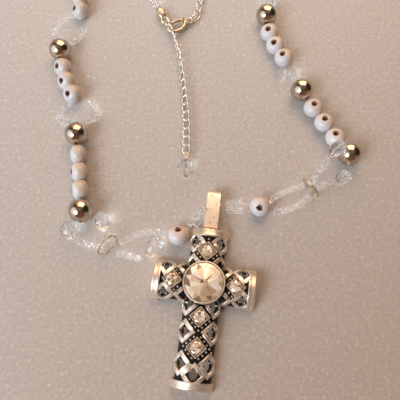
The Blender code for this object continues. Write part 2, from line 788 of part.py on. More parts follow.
def bail(body):
    """A flat strip bent round into a long loop that stands on the top cap."""
    low, high = TOP_REACH + 0.15, TOP_REACH + 0.15 + BAIL_LENGTH
    mid_z = BAIL_HEIGHT / 2

    def outline(inset):
        radius = mid_z - inset
        points = [(low + inset, inset), (low + inset, BAIL_HEIGHT - inset)]
        for k in range(7):
            turn = math.pi / 2 - math.pi * k / 6
            points.append((high - mid_z + radius * math.cos(turn), mid_z + radius * math.sin(turn)))
        return points

    bm = bmesh.new()
    loops = []
    for side in (-BAIL_WIDTH / 2, BAIL_WIDTH / 2):
        for inset in (0.0, BAIL_STRIP):
            ring = [bm.verts.new(on_cross(side, v, z)) for v, z in outline(inset)]
            loops.append(ring)
    near_out, near_in, far_out, far_in = loops
    count = len(near_out)
    for k in range(count):
        n = (k + 1) % count
        bm.faces.new((near_out[k], near_out[n], near_in[n], near_in[k]))
        bm.faces.new((far_out[k], far_in[k], far_in[n], far_out[n]))
        bm.faces.new((near_out[k], far_out[k], far_out[n], near_out[n]))
        bm.faces.new((near_in[k], near_in[n], far_in[n], far_in[k]))
    new_object("bail", bm, body, "bright_silver")


def pendant(root):
    body = Body("pendant", root, (0, 0, BAIL_HEIGHT / 2), (-1, 0, 0), (-30, 80))
    cross_casting(body)
    bail(body)
    bezel_cup(body)
    centre_crystal(body)
    for name, u, v in stone_places():
        small_stone(name, body, u, v)


# --- Cord ends, clasp and extender chain ------------------------------------------------------


def cord_end(name, parent, start, direction, reach, motion):
    """A folded crimp that grips the cords, with a flat eye. Returns its body and the eye's centre."""
    direction = Vector(direction).normalized()
    body = joint_body(name, parent, start, direction, motion, 20)
    middle = start + direction * (0.4 + reach / 2)
    bm = bmesh.new()
    profile = ((-0.5, 1.2), (-0.36, 1.45), (0.3, 1.45), (0.5, 0.7))
    turn_into(bm, [(a * reach, r) for a, r in profile], middle, direction, 8)
    tube = new_object(name, bm, body, "bright_silver")
    eye = middle + direction * (reach / 2 + 0.9)
    bm = bmesh.new()
    wire_ring_into(bm, ring_points(eye, CORD_EYE_R, (0, 0, 1), 10), EYE_WIRE_R, 6)
    boolean(tube, "UNION", f"{name}_eye", bm, body)
    return body, eye


def chain_links(name, body, start, end, count):
    """A run of links from start to end, each turned a quarter from the last, touching where they cross."""
    along = (end - start).normalized()
    pitch = (end - start).length / count
    reach = pitch + 2 * LINK_TOUCH
    radius = LINK_WIDTH / 2 - LINK_WIRE_R

    def link_into(bm, i):
        quarter = math.radians(90) if i % 2 else 0.0
        normal = Matrix.Rotation(quarter, 3, along) @ Vector((0, 0, 1))
        normal = (normal - along * normal.dot(along)).normalized()
        centre = start + along * pitch * (i + 0.5)
        points = ring_points(centre, radius, normal, 10, reach - 2 * radius, along)
        wire_ring_into(bm, points, LINK_WIRE_R, 5)

    bm = bmesh.new()
    link_into(bm, 0)
    first = new_object(name, bm, body, "bright_silver")
    bm = bmesh.new()
    for i in range(1, count):
        link_into(bm, i)
    boolean(first, "UNION", f"{name}_more", bm, body, use_self=True)


def ring_body(name, parent, pivot, limits, centre, normal, radius, wire_r):
    """A round ring of wire that turns in the table plane about its pivot."""
    body = Body(name, parent, pivot, (0, 0, 1), limits)
    bm = bmesh.new()
    wire_ring_into(bm, ring_points(centre, radius, normal, 14), wire_r, 6)
    new_object(name, bm, body, "bright_silver")
    return body


# Two wires that hook through each other stand this far either side of their joint
HOOK = 0.46
EXTENDER_STOPS = (
    (-12.0, 57.9, 1.7),
    (-10.2, 44.8, 1.7),
    (-9.1, 31.8, 1.7),
    (-9.0, 18.8, 2.0),
)
CHAIN_LINKS = 4
# Neighbouring links of one run sink this far into each other
LINK_TOUCH = 0.9 * LINK_WIRE_R
# The first link lies on the end ring above the clasp
EXTENDER_RAISE = 0.8


def extender(parent, hung_on):
    """The spare chain under the clasp, in four runs that bend where they meet."""
    first = Vector(EXTENDER_STOPS[0])
    stops = [hung_on - (first - hung_on).normalized() * HOOK] + [Vector(stop) for stop in EXTENDER_STOPS]
    body = parent
    for i, (stop, after) in enumerate(zip(stops, stops[1:])):
        along = (after - stop).normalized()
        name = f"extender_chain_{i + 1}"
        axis = along.cross(Vector((0, 0, 1))) * (1 if i % 2 else -1)
        limit = 10 if i == 0 else 15
        body = Body(name, body, stop, axis, (-limit, limit))
        overlap = along * (HOOK - LINK_TOUCH)
        chain_links(name, body, stop - overlap, after + overlap, CHAIN_LINKS)
    return body, stops[-1]


def drop(parent, start):
    """A head pin looped onto the last link, with a faceted crystal that turns on it."""
    pin_axis = Vector((0.0, -1.0, DROP_RISE)).normalized()
    body = Body("head_pin", parent, start, (1, 0, 0), (-20, 20))
    eye = start + pin_axis * (PIN_EYE_R - HOOK)
    bm = bmesh.new()
    reaches = (PIN_EYE_R - 0.1, PIN_LENGTH, PIN_LENGTH + 0.01, PIN_LENGTH + 0.6)
    rod = [eye + pin_axis * reach for reach in reaches]
    sweep_into(bm, rod, [PIN_R, PIN_R, 2.6 * PIN_R, 2 * PIN_R], 6)
    pin = new_object("head_pin", bm, body, "bright_silver")
    bm = bmesh.new()
    wire_ring_into(bm, ring_points(eye, PIN_EYE_R, (0, DROP_RISE, 1), 10), PIN_R * 0.9, 5)
    boolean(pin, "UNION", "head_pin_eye", bm, body)

    centre = eye + pin_axis * (PIN_LENGTH - DROP_LENGTH / 2 - 0.15)
    bead = Body("drop_crystal", body, centre, pin_axis)
    half = DROP_LENGTH / 2
    bore = 2 * PIN_R
    rim = 0.45 * DROP_R
    profile = (
        (-half, bore),
        (-half, rim),
        (-0.3 * half, DROP_R),
        (0.3 * half, DROP_R),
        (half, rim),
        (half, bore),
    )
    bm = bmesh.new()
    turn_into(bm, profile, centre, pin_axis, 8, closed_profile=True)
    new_object("drop_crystal", bm, bead, "clear_crystal")


# The clasp: a hook of bent bar, given along its own axis and to its left
CLASP_NOSE = Vector((-16.97, 70.18, 1.6))
CLASP_AXIS = Vector((0.93, 0.36, 0.0)).normalized()
CLASP_HOOK = ((7.4, -0.2), (6.6, -1.5), (4.8, -2.6), (2.8, -2.7), (1.1, -1.8), (0.5, -0.5), (0.9, 0.7))
CLASP_HOOK_R = (1.0, 0.85, 0.7, 0.65, 0.6, 0.6, 0.55)
CLASP_CHAIN_END = Vector((-3.0, 89.2, 1.6))
SWIVEL_RING_R = 1.35
SWIVEL_WIRE_R = 0.3


def on_clasp(x, y, z=0.0):
    left = Vector((-CLASP_AXIS.y, CLASP_AXIS.x, 0))
    return CLASP_NOSE + CLASP_AXIS * x + left * y + Vector((0, 0, z))


def clasp(parent, pivot):
    """A lobster claw hooked through the end ring, with a sprung lever and a ring at its back."""
    body = Body("clasp_body", parent, pivot, (0, 0, 1), (-5, 5))
    bm = bmesh.new()
    sweep_into(bm, [on_clasp(x, y) for x, y in CLASP_HOOK], CLASP_HOOK_R, 8)
    hook = new_object("clasp_body", bm, body, "bright_silver")
    bm = bmesh.new()
    eye = on_clasp(9.0, -0.1)
    wire_ring_into(bm, ring_points(eye, CLASP_EYE_R, (0, 0, 1), 10), EYE_WIRE_R, 6)
    boolean(hook, "UNION", "clasp_eye", bm, body)

    lever = Body("clasp_lever", body, on_clasp(6.9, 1.35), (0, 0, -1), (0, 14))
    bm = bmesh.new()
    bar = [on_clasp(x, y) for x, y in ((7.3, 1.7), (6.6, 1.45), (4.2, 1.6), (1.75, 1.15))]
    sweep_into(bm, bar, (0.4, 0.5, 0.42, 0.38), 6)
    new_object("clasp_lever", bm, lever, "bright_silver")

    ring_at, ring_lift = 10.6, 0.45
    across = Vector((-CLASP_AXIS.y, CLASP_AXIS.x, 0))
    swivel = ring_body(
        "clasp_swivel_ring",
        body,
        pivot=on_clasp(9.5, 0.0),
        limits=(-15, 15),
        centre=on_clasp(ring_at, 0.0, ring_lift),
        normal=across,
        radius=SWIVEL_RING_R,
        wire_r=SWIVEL_WIRE_R,
    )
    hung_on = on_clasp(ring_at + SWIVEL_RING_R, 0.0, ring_lift)
    along = (CLASP_CHAIN_END - hung_on).normalized()
    chain = Body("clasp_chain", swivel, hung_on - along * HOOK, (0, 0, 1), (-12, 12))
    first = chain.pivot - along * (HOOK - LINK_TOUCH)
    chain_links("clasp_chain", chain, first, CLASP_CHAIN_END, CHAIN_LINKS)


def end_ring_and_clasp(left_end, eye):
    """The end ring stands in the left cord end's eye. It carries the clasp and the extender."""
    reach = Vector((0.62, -0.78, 0)).normalized()
    centre = Vector((eye.x, eye.y, 2.5)) + reach * END_RING_R
    normal = reach.cross(Vector((0, 0, 1)))
    ring = ring_body("end_ring", left_end, eye, (-10, 10), centre, normal, END_RING_R, END_RING_WIRE_R)
    far = centre + reach * END_RING_R
    hung_on = far + Vector((0, 0, EXTENDER_RAISE)) - reach * 0.16
    last, stop = extender(ring, hung_on)
    drop(last, stop)
    clasp(ring, far)


# --- Assembly ----------------------------------------------------------------------------------


def clear_scene():
    for old in list(bpy.data.objects):
        bpy.data.objects.remove(old, do_unlink=True)


def strand_side(side, root, start, rows):
    """One half of the necklace, from the centre strand to its last section."""
    body = root
    for row in rows:
        body, start_next = strand_section(side, row, body, start)
        if row[0] == "oval_1":
            along, lean = BINDER_SET[side]
            binder_ring(f"{side}_binder_ring", body, start_next.xy, along, lean)
        start = start_next
    return body, Vector(start)


def build():
    clear_scene()
    root = Body("centre_strand", None, (0, 0, 0))
    centre_strand(root)
    pendant(root)
    left, left_stop = strand_side("left", root, LEFT_START, LEFT_SECTIONS)
    right, right_stop = strand_side("right", root, RIGHT_START, RIGHT_SECTIONS)
    cord_end("right_cord_end", right, right_stop, (-0.25, -0.95, 0), 4.2, "drop")
    left_end, eye = cord_end("left_cord_end", left, left_stop, (0.4, -0.92, 0), 4.6, "drop")
    end_ring_and_clasp(left_end, eye)


build()
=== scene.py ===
"""Looks of the beaded rosary-style necklace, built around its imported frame.

Lengths are millimetres in the part's own frame: the origin is on the table below the bail,
+X to the right, +Y from the cross up the necklace and +Z up. piece() scales them to metres.
"""
import json
import math
import random

import bpy
from mathutils import Matrix, Vector

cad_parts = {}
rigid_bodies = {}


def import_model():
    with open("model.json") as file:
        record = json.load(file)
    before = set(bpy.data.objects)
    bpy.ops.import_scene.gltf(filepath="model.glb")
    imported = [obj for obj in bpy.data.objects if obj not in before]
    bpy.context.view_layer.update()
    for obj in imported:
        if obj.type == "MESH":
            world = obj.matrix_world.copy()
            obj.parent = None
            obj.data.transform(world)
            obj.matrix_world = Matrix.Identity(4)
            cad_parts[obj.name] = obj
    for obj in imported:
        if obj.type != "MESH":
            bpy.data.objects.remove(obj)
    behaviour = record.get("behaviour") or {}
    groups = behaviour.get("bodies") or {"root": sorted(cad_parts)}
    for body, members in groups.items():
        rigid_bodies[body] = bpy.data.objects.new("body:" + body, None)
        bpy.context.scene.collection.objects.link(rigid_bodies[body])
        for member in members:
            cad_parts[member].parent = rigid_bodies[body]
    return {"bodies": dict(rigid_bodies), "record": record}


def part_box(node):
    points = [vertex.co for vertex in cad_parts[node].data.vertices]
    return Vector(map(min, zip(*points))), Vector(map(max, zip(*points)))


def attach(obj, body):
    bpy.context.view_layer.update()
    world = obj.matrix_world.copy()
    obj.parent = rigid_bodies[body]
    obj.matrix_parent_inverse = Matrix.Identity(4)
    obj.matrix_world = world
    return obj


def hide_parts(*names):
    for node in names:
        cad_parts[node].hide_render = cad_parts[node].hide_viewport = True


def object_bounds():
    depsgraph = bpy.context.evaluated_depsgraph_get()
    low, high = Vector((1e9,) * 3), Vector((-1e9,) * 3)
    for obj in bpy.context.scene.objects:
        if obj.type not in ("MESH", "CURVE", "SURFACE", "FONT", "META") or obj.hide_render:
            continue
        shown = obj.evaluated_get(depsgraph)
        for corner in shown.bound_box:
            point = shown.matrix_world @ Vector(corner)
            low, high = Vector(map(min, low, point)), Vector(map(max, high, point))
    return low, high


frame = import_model()
CAD_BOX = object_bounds()

MM = 0.001
UP = Vector((0, 0, 1))
JOINTS = {joint["child"]: joint for joint in frame["record"]["behaviour"]["joints"]}
CURVE_STEPS = 6
chance = random.Random(7)

# Beads and cord
STEEL_R = 3.9
WHITE_R = 3.3
WHITE_LENGTH = 5.3
WHITE_ROOM = 5.6
WHITE_BORE_R = 0.78
STEEL_BORE_R = 0.8
CORD_R = 0.2
TUBE_R = 1.02
TUBE_LENGTH = 2.1
TUBE_BORE_R = 0.38
TUBE_PITCH = 2.75
Z_SEED = 1.1
END_GAP = 0.45
CRYSTAL_R = 2.8
CRYSTAL_LENGTH = 6.4
BINDER_R = 3.6
BINDER_WIRE_R = 0.2
BINDER_TURNS = 11
BINDER_STEPS = 10
BINDER_LEAN = math.radians(12)
PAIR_R = 2.3
PAIR_LENGTH = 5.2
TIP_R = 2.4
TIP_LENGTH = 5.6
DROP_R = 3.0
DROP_LENGTH = 6.1

# Cross: u runs across it and v along it, from the centre stone
CROSS_CENTRE = Vector((-3.2, -24.8, 0.0))
CROSS_TURN = math.radians(-7.0)
HALF_WIDTH = 5.8
RISE = 5.2
SHELL_DROP = 0.35
SHELL_WALL = 0.5
ARC_R = 5.5
CAP_THICK = 2.1
CAP_HALF_WIDTH = 6.4
CAP_RISE = 5.9
TOP_REACH = 16.9
SIDE_REACH = 15.8
BOTTOM_REACH = 30.4
STONE_STEP = 9.7
LOWER_STONE_1 = 10.0
LOWER_STONE_2 = 18.7
LATTICE = 4.35
HOLE_S = 1.3
HOLE_T = 1.6
BAR_WIDTH = 1.14
BAR_SIDE = 2.1
BAR_START = -1.7
BAR_END = 2.45
GRANULE_R = 0.36
GRANULE_LIFT = -0.014
GRANULE_STEP = 1.4
BEZEL_R = 6.4
BEZEL_WALL = 0.45
BEZEL_FLOOR_Z = 4.35
BEZEL_RIM_Z = 7.0
SETTING_HALF = 3.1
SETTING_FOOT_Z = 3.5
SETTING_TOP_Z = 6.0
SMALL_STONE_R = 1.98

# Bail
BAIL_WIDTH = 4.6
BAIL_STRIP = 0.8
BAIL_LENGTH = 13.2
BAIL_HEIGHT = 5.0


def pivot(body):
    """Where the joint that carries a body stands, in millimetres."""
    return Vector(JOINTS[body]["pos_m"]) / MM


def joint_axis(body):
    return Vector(JOINTS[body]["axis"]).normalized()


def box_centre(node):
    low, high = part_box(node)
    return (low + high) / (2 * MM)


# --- Mesh tools ---------------------------------------------------------------------------------


def around(count, shift=0.0, turn=0.0):
    """Cosine and sine at equal steps round a circle. shift counts steps, and turn is in radians."""
    angles = [turn + 2 * math.pi * (k + shift) / count for k in range(count)]
    return [(math.cos(angle), math.sin(angle)) for angle in angles]


def square_to(axis):
    """An axis at length 1, and two more that are square to it and to each other."""
    axis = Vector(axis).normalized()
    side = axis.orthogonal().normalized()
    return axis, side, axis.cross(side)


def power(value, exponent):
    """A power that keeps the sign."""
    return math.copysign(abs(value) ** exponent, value)


class Shape:
    """Points and faces gathered into one mesh. Each face keeps a material number and a value: a
    random tone on glass tubes, painted facet light on cut stones.
    """

    def __init__(self):
        self.points = []
        self.faces = []
        self.slots = []
        self.tones_and_facet_lights = []
        self.tone_and_facet_light = 0.5

    def face(self, corners, slot=0, tone_and_facet_light=None):
        self.faces.append(corners)
        self.slots.append(slot)
        self.tones_and_facet_lights.append(self.tone_and_facet_light if tone_and_facet_light is None else tone_and_facet_light)

    def add(self, points):
        first = len(self.points)
        self.points.extend(points)
        return list(range(first, first + len(points)))

    def skin(self, rings, wrap=False, capped=False, slots=None):
        """Joins rings of equally many points into a surface."""
        made = [self.add(ring) for ring in rings]
        pairs = list(zip(made, made[1:]))
        if wrap:
            pairs.append((made[-1], made[0]))
        for number, (near, far) in enumerate(pairs):
            slot = slots[number] if slots else 0
            count = len(near)
            for k in range(count):
                n = (k + 1) % count
                self.face((near[k], near[n], far[n], far[k]), slot)
        if capped:
            self.face(tuple(reversed(made[0])), slots[0] if slots else 0)
            self.face(tuple(made[-1]), slots[-1] if slots else 0)

    def lathe(self, profile, centre, axis, sides, **skin):
        """Turns (distance along the axis, radius) points about an axis."""
        axis, side, across = square_to(axis)
        rings = []
        for along, radius in profile:
            middle = centre + axis * along
            rings.append([middle + (side * c + across * s) * radius for c, s in around(sides)])
        self.skin(rings, **skin)

    def tube(self, points, radii, sides=10, wrap=False):
        """Sweeps a round section along points, carried along without twist."""
        count = len(points)
        if not isinstance(radii, (list, tuple)):
            radii = [radii] * count
        directions = []
        for i in range(count):
            before = points[i - 1] if wrap or i else points[0]
            after = points[(i + 1) % count] if wrap or i < count - 1 else points[-1]
            directions.append((after - before).normalized())
        side = directions[0].orthogonal().normalized()
        sides_at = []
        for along in directions:
            side = (side - along * side.dot(along)).normalized()
            sides_at.append(side)
        slip = 0.0
        if wrap:
            last = sides_at[-1] - directions[0] * sides_at[-1].dot(directions[0])
            last.normalize()
            slip = math.atan2(sides_at[0].cross(last).dot(directions[0]), sides_at[0].dot(last))
        rings = []
        for i, point in enumerate(points):
            side = Matrix.Rotation(-slip * i / count, 3, directions[i]) @ sides_at[i]
            across = directions[i].cross(side)
            rings.append([point + (side * c + across * s) * radii[i] for c, s in around(sides)])
        self.skin(rings, wrap=wrap, capped=not wrap)

    def hoop(self, centre, first, second, radius, wire_r, count=28, sides=12):
        """A ring of round wire in the plane of two directions."""
        points = [centre + (first * c + second * s) * radius for c, s in around(count)]
        self.tube(points, wire_r, sides, wrap=True)

    def ball(self, centre, radius, sides):
        steps = sides // 2
        profile = []
        for k in range(1, steps):
            turn = math.pi * k / steps
            profile.append((-radius * math.cos(turn), radius * math.sin(turn)))
        self.lathe(profile, centre, UP, sides, capped=True)


def piece(name, shape, body, materials, stands_for=(), sharp=40):
    """Makes a shape into an object in metres that rides on a body."""
    mesh = bpy.data.meshes.new(name)
    mesh.from_pydata([tuple(point * MM) for point in shape.points], [], shape.faces)
    for made in materials:
        mesh.materials.append(made)
    mesh.polygons.foreach_set("material_index", shape.slots)
    tone_and_facet_light = mesh.attributes.new("tone_and_facet_light", "FLOAT", "FACE")
    tone_and_facet_light.data.foreach_set("value", shape.tones_and_facet_lights)
    mesh.update()
    if sharp:
        mesh.shade_smooth()
        mesh.set_sharp_from_angle(angle=math.radians(sharp))
    made = bpy.data.objects.new(name, mesh)
    bpy.context.scene.collection.objects.link(made)
    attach(made, body)
    if stands_for:
        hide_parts(*stands_for)
    return made


class Path:
    """A polyline that is read by the distance run along it."""

    def __init__(self, points, closed=False):
        self.points = list(points)
        if closed:
            self.points.append(self.points[0])
        self.reach = [0.0]
        for near, far in zip(self.points, self.points[1:]):
            self.reach.append(self.reach[-1] + (far - near).length)
        self.length = self.reach[-1]

    def at(self, distance):
        distance = min(max(distance, 0.0), self.length)
        for i in range(1, len(self.reach)):
            if distance <= self.reach[i] or i == len(self.reach) - 1:
                part = (distance - self.reach[i - 1]) / (self.reach[i] - self.reach[i - 1])
                return self.points[i - 1].lerp(self.points[i], part)

    def along(self, distance):
        return (self.at(distance + 0.4) - self.at(distance - 0.4)).normalized()


def curved(points):
    """A smooth curve through points, with CURVE_STEPS steps from one to the next."""
    found = []
    padded = [points[0], *points, points[-1]]
    for p0, p1, p2, p3 in zip(padded, padded[1:], padded[2:], padded[3:]):
        for k in range(CURVE_STEPS):
            t = k / CURVE_STEPS
            bend = (2 * p0 - 5 * p1 + 4 * p2 - p3) * t * t + (3 * p1 - p0 - 3 * p2 + p3) * t ** 3
            found.append(0.5 * (2 * p1 + (p2 - p0) * t + bend))
    found.append(points[-1])
    return found


# --- Materials ----------------------------------------------------------------------------------


class Nodes:
    """A node tree with short calls for the nodes used here."""

    def __init__(self, tree):
        self.tree = tree

    def feed(self, node, key, value):
        """Links a socket to a node's input, or sets the input to a value."""
        target = node.inputs[key]
        if isinstance(value, bpy.types.NodeSocket):
            self.tree.links.new(value, target)
        elif target.type == "RGBA":
            target.default_value = (*value, 1.0)
        else:
            target.default_value = value

    def node(self, kind, inputs=None, **settings):
        made = self.tree.nodes.new(kind)
        for key, value in settings.items():
            setattr(made, key, value)
        for key, value in (inputs or {}).items():
            self.feed(made, key, value)
        return made

    def spread(self, factor, low, high, start=0.0, stop=1.0, **settings):
        """Maps start..stop to low..high."""
        ends = {"Value": factor, "To Min": low, "To Max": high, "From Min": start, "From Max": stop}
        return self.node("ShaderNodeMapRange", ends, **settings).outputs["Result"]

    def ramp(self, factor, stops):
        made = self.node("ShaderNodeValToRGB", {"Fac": factor})
        elements = made.color_ramp.elements
        while len(elements) < len(stops):
            elements.new(0.5)
        for element, (place, colour) in zip(elements, stops):
            element.position = place
            element.color = (*colour, 1.0)
        return made.outputs["Color"]

    def mix(self, factor, first, second, mode="MIX"):
        inputs = {0: factor, 6: first, 7: second}
        return self.node("ShaderNodeMix", inputs, data_type="RGBA", blend_type=mode).outputs[2]

    def facing(self, source, direction):
        """How far a direction socket points along a direction."""
        made = self.node("ShaderNodeVectorMath", {0: source, 1: direction}, operation="DOT_PRODUCT")
        return made.outputs["Value"]


class Finish(Nodes):
    """A material around one Principled shader."""

    def __init__(self, name):
        self.material = bpy.data.materials.new(name)
        self.material.use_nodes = True
        super().__init__(self.material.node_tree)
        self.shader = self.tree.nodes["Principled BSDF"]

    def set(self, **values):
        for key, value in values.items():
            self.feed(self.shader, key.replace("_", " "), value)

    def noise(self, scale, detail=3.0):
        """Noise whose scale is counted per millimetre."""
        place = self.node("ShaderNodeTexCoord").outputs["Object"]
        mapping = self.node("ShaderNodeMapping", {"Scale": (1 / MM,) * 3, "Vector": place})
        inputs = {"Scale": scale, "Detail": detail, "Vector": mapping.outputs["Vector"]}
        return self.node("ShaderNodeTexNoise", inputs).outputs["Fac"]

    def bump(self, height, strength, distance):
        inputs = {"Strength": strength, "Distance": distance * MM, "Height": height}
        self.set(Normal=self.node("ShaderNodeBump", inputs).outputs["Normal"])

    def hollow(self, distance):
        """1 on open surfaces, falling to 0 in corners within distance."""
        made = self.node("ShaderNodeAmbientOcclusion", {"Distance": distance * MM}, samples=6)
        return made.outputs["AO"]

    # The per-face value: a random tone on glass, painted facet light on cut stones.
    def tone_and_facet_light(self):
        return self.node("ShaderNodeAttribute", attribute_name="tone_and_facet_light").outputs["Fac"]

    def blend(self, share, first, second):
        inputs = {0: share, 1: first.outputs[0], 2: second.outputs[0]}
        return self.node("ShaderNodeMixShader", inputs)

    def see_through(self, straight, shadow, rim):
        """Lets shares of light straight through, to the eye and in shadows, and mixes in a pale
        emission glow towards the edges: a painted highlight.
        """
        # Painted highlight: pale emission fades in as the surface turns away from the eye.
        edge = self.node("ShaderNodeLayerWeight", {"Blend": 0.5}).outputs["Facing"]
        glow = self.node("ShaderNodeEmission", {"Color": (0.84, 0.80, 0.77)})
        with_painted_rim = self.blend(self.spread(edge, 0.0, rim, 0.5, 0.95), self.shader, glow)
        in_shadow = self.node("ShaderNodeLightPath").outputs["Is Shadow Ray"]
        clear = self.node("ShaderNodeBsdfTransparent")
        surface = self.blend(self.spread(in_shadow, straight, shadow), with_painted_rim, clear)
        self.feed(self.tree.nodes["Material Output"], "Surface", surface.outputs[0])


def pearl_white():
    """Opaque moulded beads with a light gloss coat. Their colour is painted blue-white on one side
    and tan on the side that faces the upper right: painted light and shade.
    """
    finish = Finish("pearl_white")
    # Painted light and shade: the base colour turns from blue-white to tan by which way the surface
    # faces.
    normal = finish.node("ShaderNodeNewGeometry").outputs["Normal"]
    side = finish.facing(normal, Vector((0.75, 0.55, 0.1)).normalized())
    turn = finish.spread(side, 0.0, 1.0, -0.7, 0.4, interpolation_type="SMOOTHSTEP")
    painted_side_light = finish.mix(turn, (0.66, 0.67, 0.70), (0.60, 0.49, 0.41))
    cloud = finish.ramp(finish.noise(0.5, 2.0), ((0.3, (0.93, 0.92, 0.92)), (0.7, (1, 1, 1))))
    finish.set(
        Base_Color=finish.mix(1.0, painted_side_light, cloud, "MULTIPLY"),
        Roughness=finish.spread(finish.noise(1.5), 0.3, 0.5),
        Subsurface_Weight=0.1,
        Subsurface_Radius=(1, 0.8, 0.7),
        Subsurface_Scale=0.8 * MM,
        Coat_Weight=0.3,
        Coat_Roughness=0.2,
    )
    finish.bump(finish.noise(3.0), 0.15, 0.05)
    return finish.material


def bead_bore():
    """The dark inside of a bead's hole."""
    finish = Finish("bead_bore")
    stops = ((0.3, (0.09, 0.04, 0.025)), (0.7, (0.30, 0.17, 0.11)))
    finish.set(Base_Color=finish.ramp(finish.noise(2.0), stops), Roughness=0.75)
    return finish.material


def mirror_steel():
    """Dark polished steel with faint wiping marks."""
    finish = Finish("mirror_steel")
    stops = ((0.3, (0.52, 0.43, 0.34)), (0.7, (0.62, 0.53, 0.43)))
    finish.set(
        Base_Color=finish.ramp(finish.noise(0.25, 2.0), stops),
        Roughness=finish.spread(finish.noise(4.0, 6.0), 0.03, 0.10),
        Metallic=1.0,
    )
    finish.bump(finish.noise(6.0, 5.0), 0.04, 0.02)
    return finish.material


def clear_glass(name, ior, roughness, straight, rim):
    """Clear beads: part of the light passes straight through, and their edges glow pale: a painted
    highlight.
    """
    finish = Finish(name)
    colour = finish.ramp(finish.tone_and_facet_light(), ((0.0, (0.96, 0.96, 0.97)), (1.0, (1, 1, 1))))
    finish.set(Base_Color=colour, Transmission_Weight=1.0, IOR=ior, Roughness=roughness)
    finish.see_through(straight, 0.9, rim)
    return finish.material


def oxidised():
    """The blackened recesses of the casting."""
    finish = Finish("oxidised_silver")
    grain = finish.noise(1.6, 6.0)
    stops = (
        (0.35, (0.008, 0.007, 0.007)),
        (0.62, (0.022, 0.018, 0.016)),
        (0.8, (0.13, 0.10, 0.08)),
    )
    rough = finish.spread(grain, 0.25, 0.6)
    finish.set(Base_Color=finish.ramp(grain, stops), Roughness=rough, Metallic=0.7)
    finish.bump(finish.noise(2.2, 5.0), 0.5, 0.12)
    return finish.material


def worn_silver(name, colour, dark, roughness, patina, recess, metallic=0.8):
    """Silver plate, rubbed bright on open surfaces and tarnished in corners."""
    finish = Finish(name)
    spots = finish.ramp(finish.noise(0.9, 7.0), ((patina, dark), (patina + 0.14, colour)))
    open_side = finish.ramp(finish.hollow(recess), ((0.35, (0, 0, 0)), (0.8, (1, 1, 1))))
    finish.set(
        Base_Color=finish.mix(open_side, tuple(c * 0.35 for c in dark), spots),
        Roughness=finish.spread(finish.noise(2.5, 6.0), roughness * 0.7, roughness * 1.5),
        Metallic=metallic,
    )
    finish.bump(finish.noise(3.0, 6.0), 0.25, 0.04)
    return finish.material


def glowing_cast_inside():
    """The inside of the casting, painted pale and made to glow a little so that its openings look
    lit: painted light.
    """
    finish = Finish("glowing_cast_inside")
    stops = ((0.3, (0.74, 0.69, 0.64)), (0.7, (0.92, 0.88, 0.84)))
    colour = finish.ramp(finish.noise(1.2, 4.0), stops)
    # Painted light: the inside glows by its own emission.
    finish.set(Base_Color=colour, Emission_Color=colour, Roughness=0.6, Emission_Strength=0.3)
    return finish.material


def champagne_stone():
    """Foil-backed cut stone: each facet is painted from dark tan to near white by a value stored on
    it: painted reflections of light in the facets.
    """
    finish = Finish("champagne_stone")
    # Painted reflections: the ramp runs from facets that mirror shade to facets that mirror bright
    # light.
    stops = (
        (0.0, (0.09, 0.055, 0.04)),
        (0.18, (0.36, 0.24, 0.15)),
        (0.45, (0.66, 0.49, 0.33)),
        (0.75, (0.86, 0.70, 0.52)),
        (1.0, (1.0, 0.93, 0.84)),
    )
    cloud = finish.ramp(finish.noise(0.8, 2.0), ((0.3, (0.80, 0.78, 0.76)), (0.7, (1, 1, 1))))
    finish.set(
        Base_Color=finish.mix(0.8, finish.ramp(finish.tone_and_facet_light(), stops), cloud, "MULTIPLY"),
        Metallic=0.25,
        Roughness=0.10,
        Coat_Weight=0.5,
        Coat_Roughness=0.02,
        Coat_IOR=1.5,
    )
    return finish.material


PEARL = pearl_white()
BORE = bead_bore()
STEEL = mirror_steel()
# The last number is the share of painted pale glow on the edges.
GLASS = clear_glass("tube_glass", 1.42, 0.02, 0.15, 0.85)
CRYSTAL = clear_glass("cut_crystal", 1.5, 0.0, 0.25, 0.4)
CORD = clear_glass("clear_cord", 1.4, 0.1, 0.35, 0.4)
OXIDE = oxidised()
GLOWING_INSIDE = glowing_cast_inside()
BAND = worn_silver("band_silver", (0.86, 0.76, 0.66), (0.24, 0.17, 0.11), 0.27, 0.30, 0.35, 0.72)
CAP = worn_silver("cap_silver", (0.80, 0.67, 0.55), (0.34, 0.24, 0.17), 0.30, 0.27, 0.5, 0.7)
BRIGHT = worn_silver("bright_silver", (0.90, 0.86, 0.79), (0.45, 0.36, 0.26), 0.14, 0.25, 0.3)
CRIMP = worn_silver("crimp_silver", (0.78, 0.66, 0.50), (0.33, 0.24, 0.16), 0.30, 0.38, 0.4)
STONE = champagne_stone()


# --- Strands ------------------------------------------------------------------------------------


def bowed(start, end, bow):
    chord = end - start
    left = Vector((-chord.y, chord.x, 0)).normalized()
    parts = [i / 40 for i in range(41)]
    return [start + chord * part + left * (bow * 4 * part * (1 - part)) for part in parts]


def bead_places(path, beads):
    sizes = [2 * STEEL_R if kind == "S" else WHITE_ROOM for kind in beads]
    gap = (path.length - sum(sizes)) / (len(beads) + 1)
    places, reached = [], gap
    for kind, size in zip(beads, sizes):
        places.append((kind, reached + size / 2))
        reached += size + gap
    return places


def run_height(places, start, end, length, distance):
    knots = [(0.0, start.z)]
    knots += [(s, STEEL_R if kind == "S" else WHITE_R - 0.25) for kind, s in places]
    knots.append((length, end.z))
    for (s0, z0), (s1, z1) in zip(knots, knots[1:]):
        if distance <= s1:
            part = (distance - s0) / (s1 - s0)
            return z0 + (z1 - z0) * (1 - math.cos(math.pi * part)) / 2
    return end.z


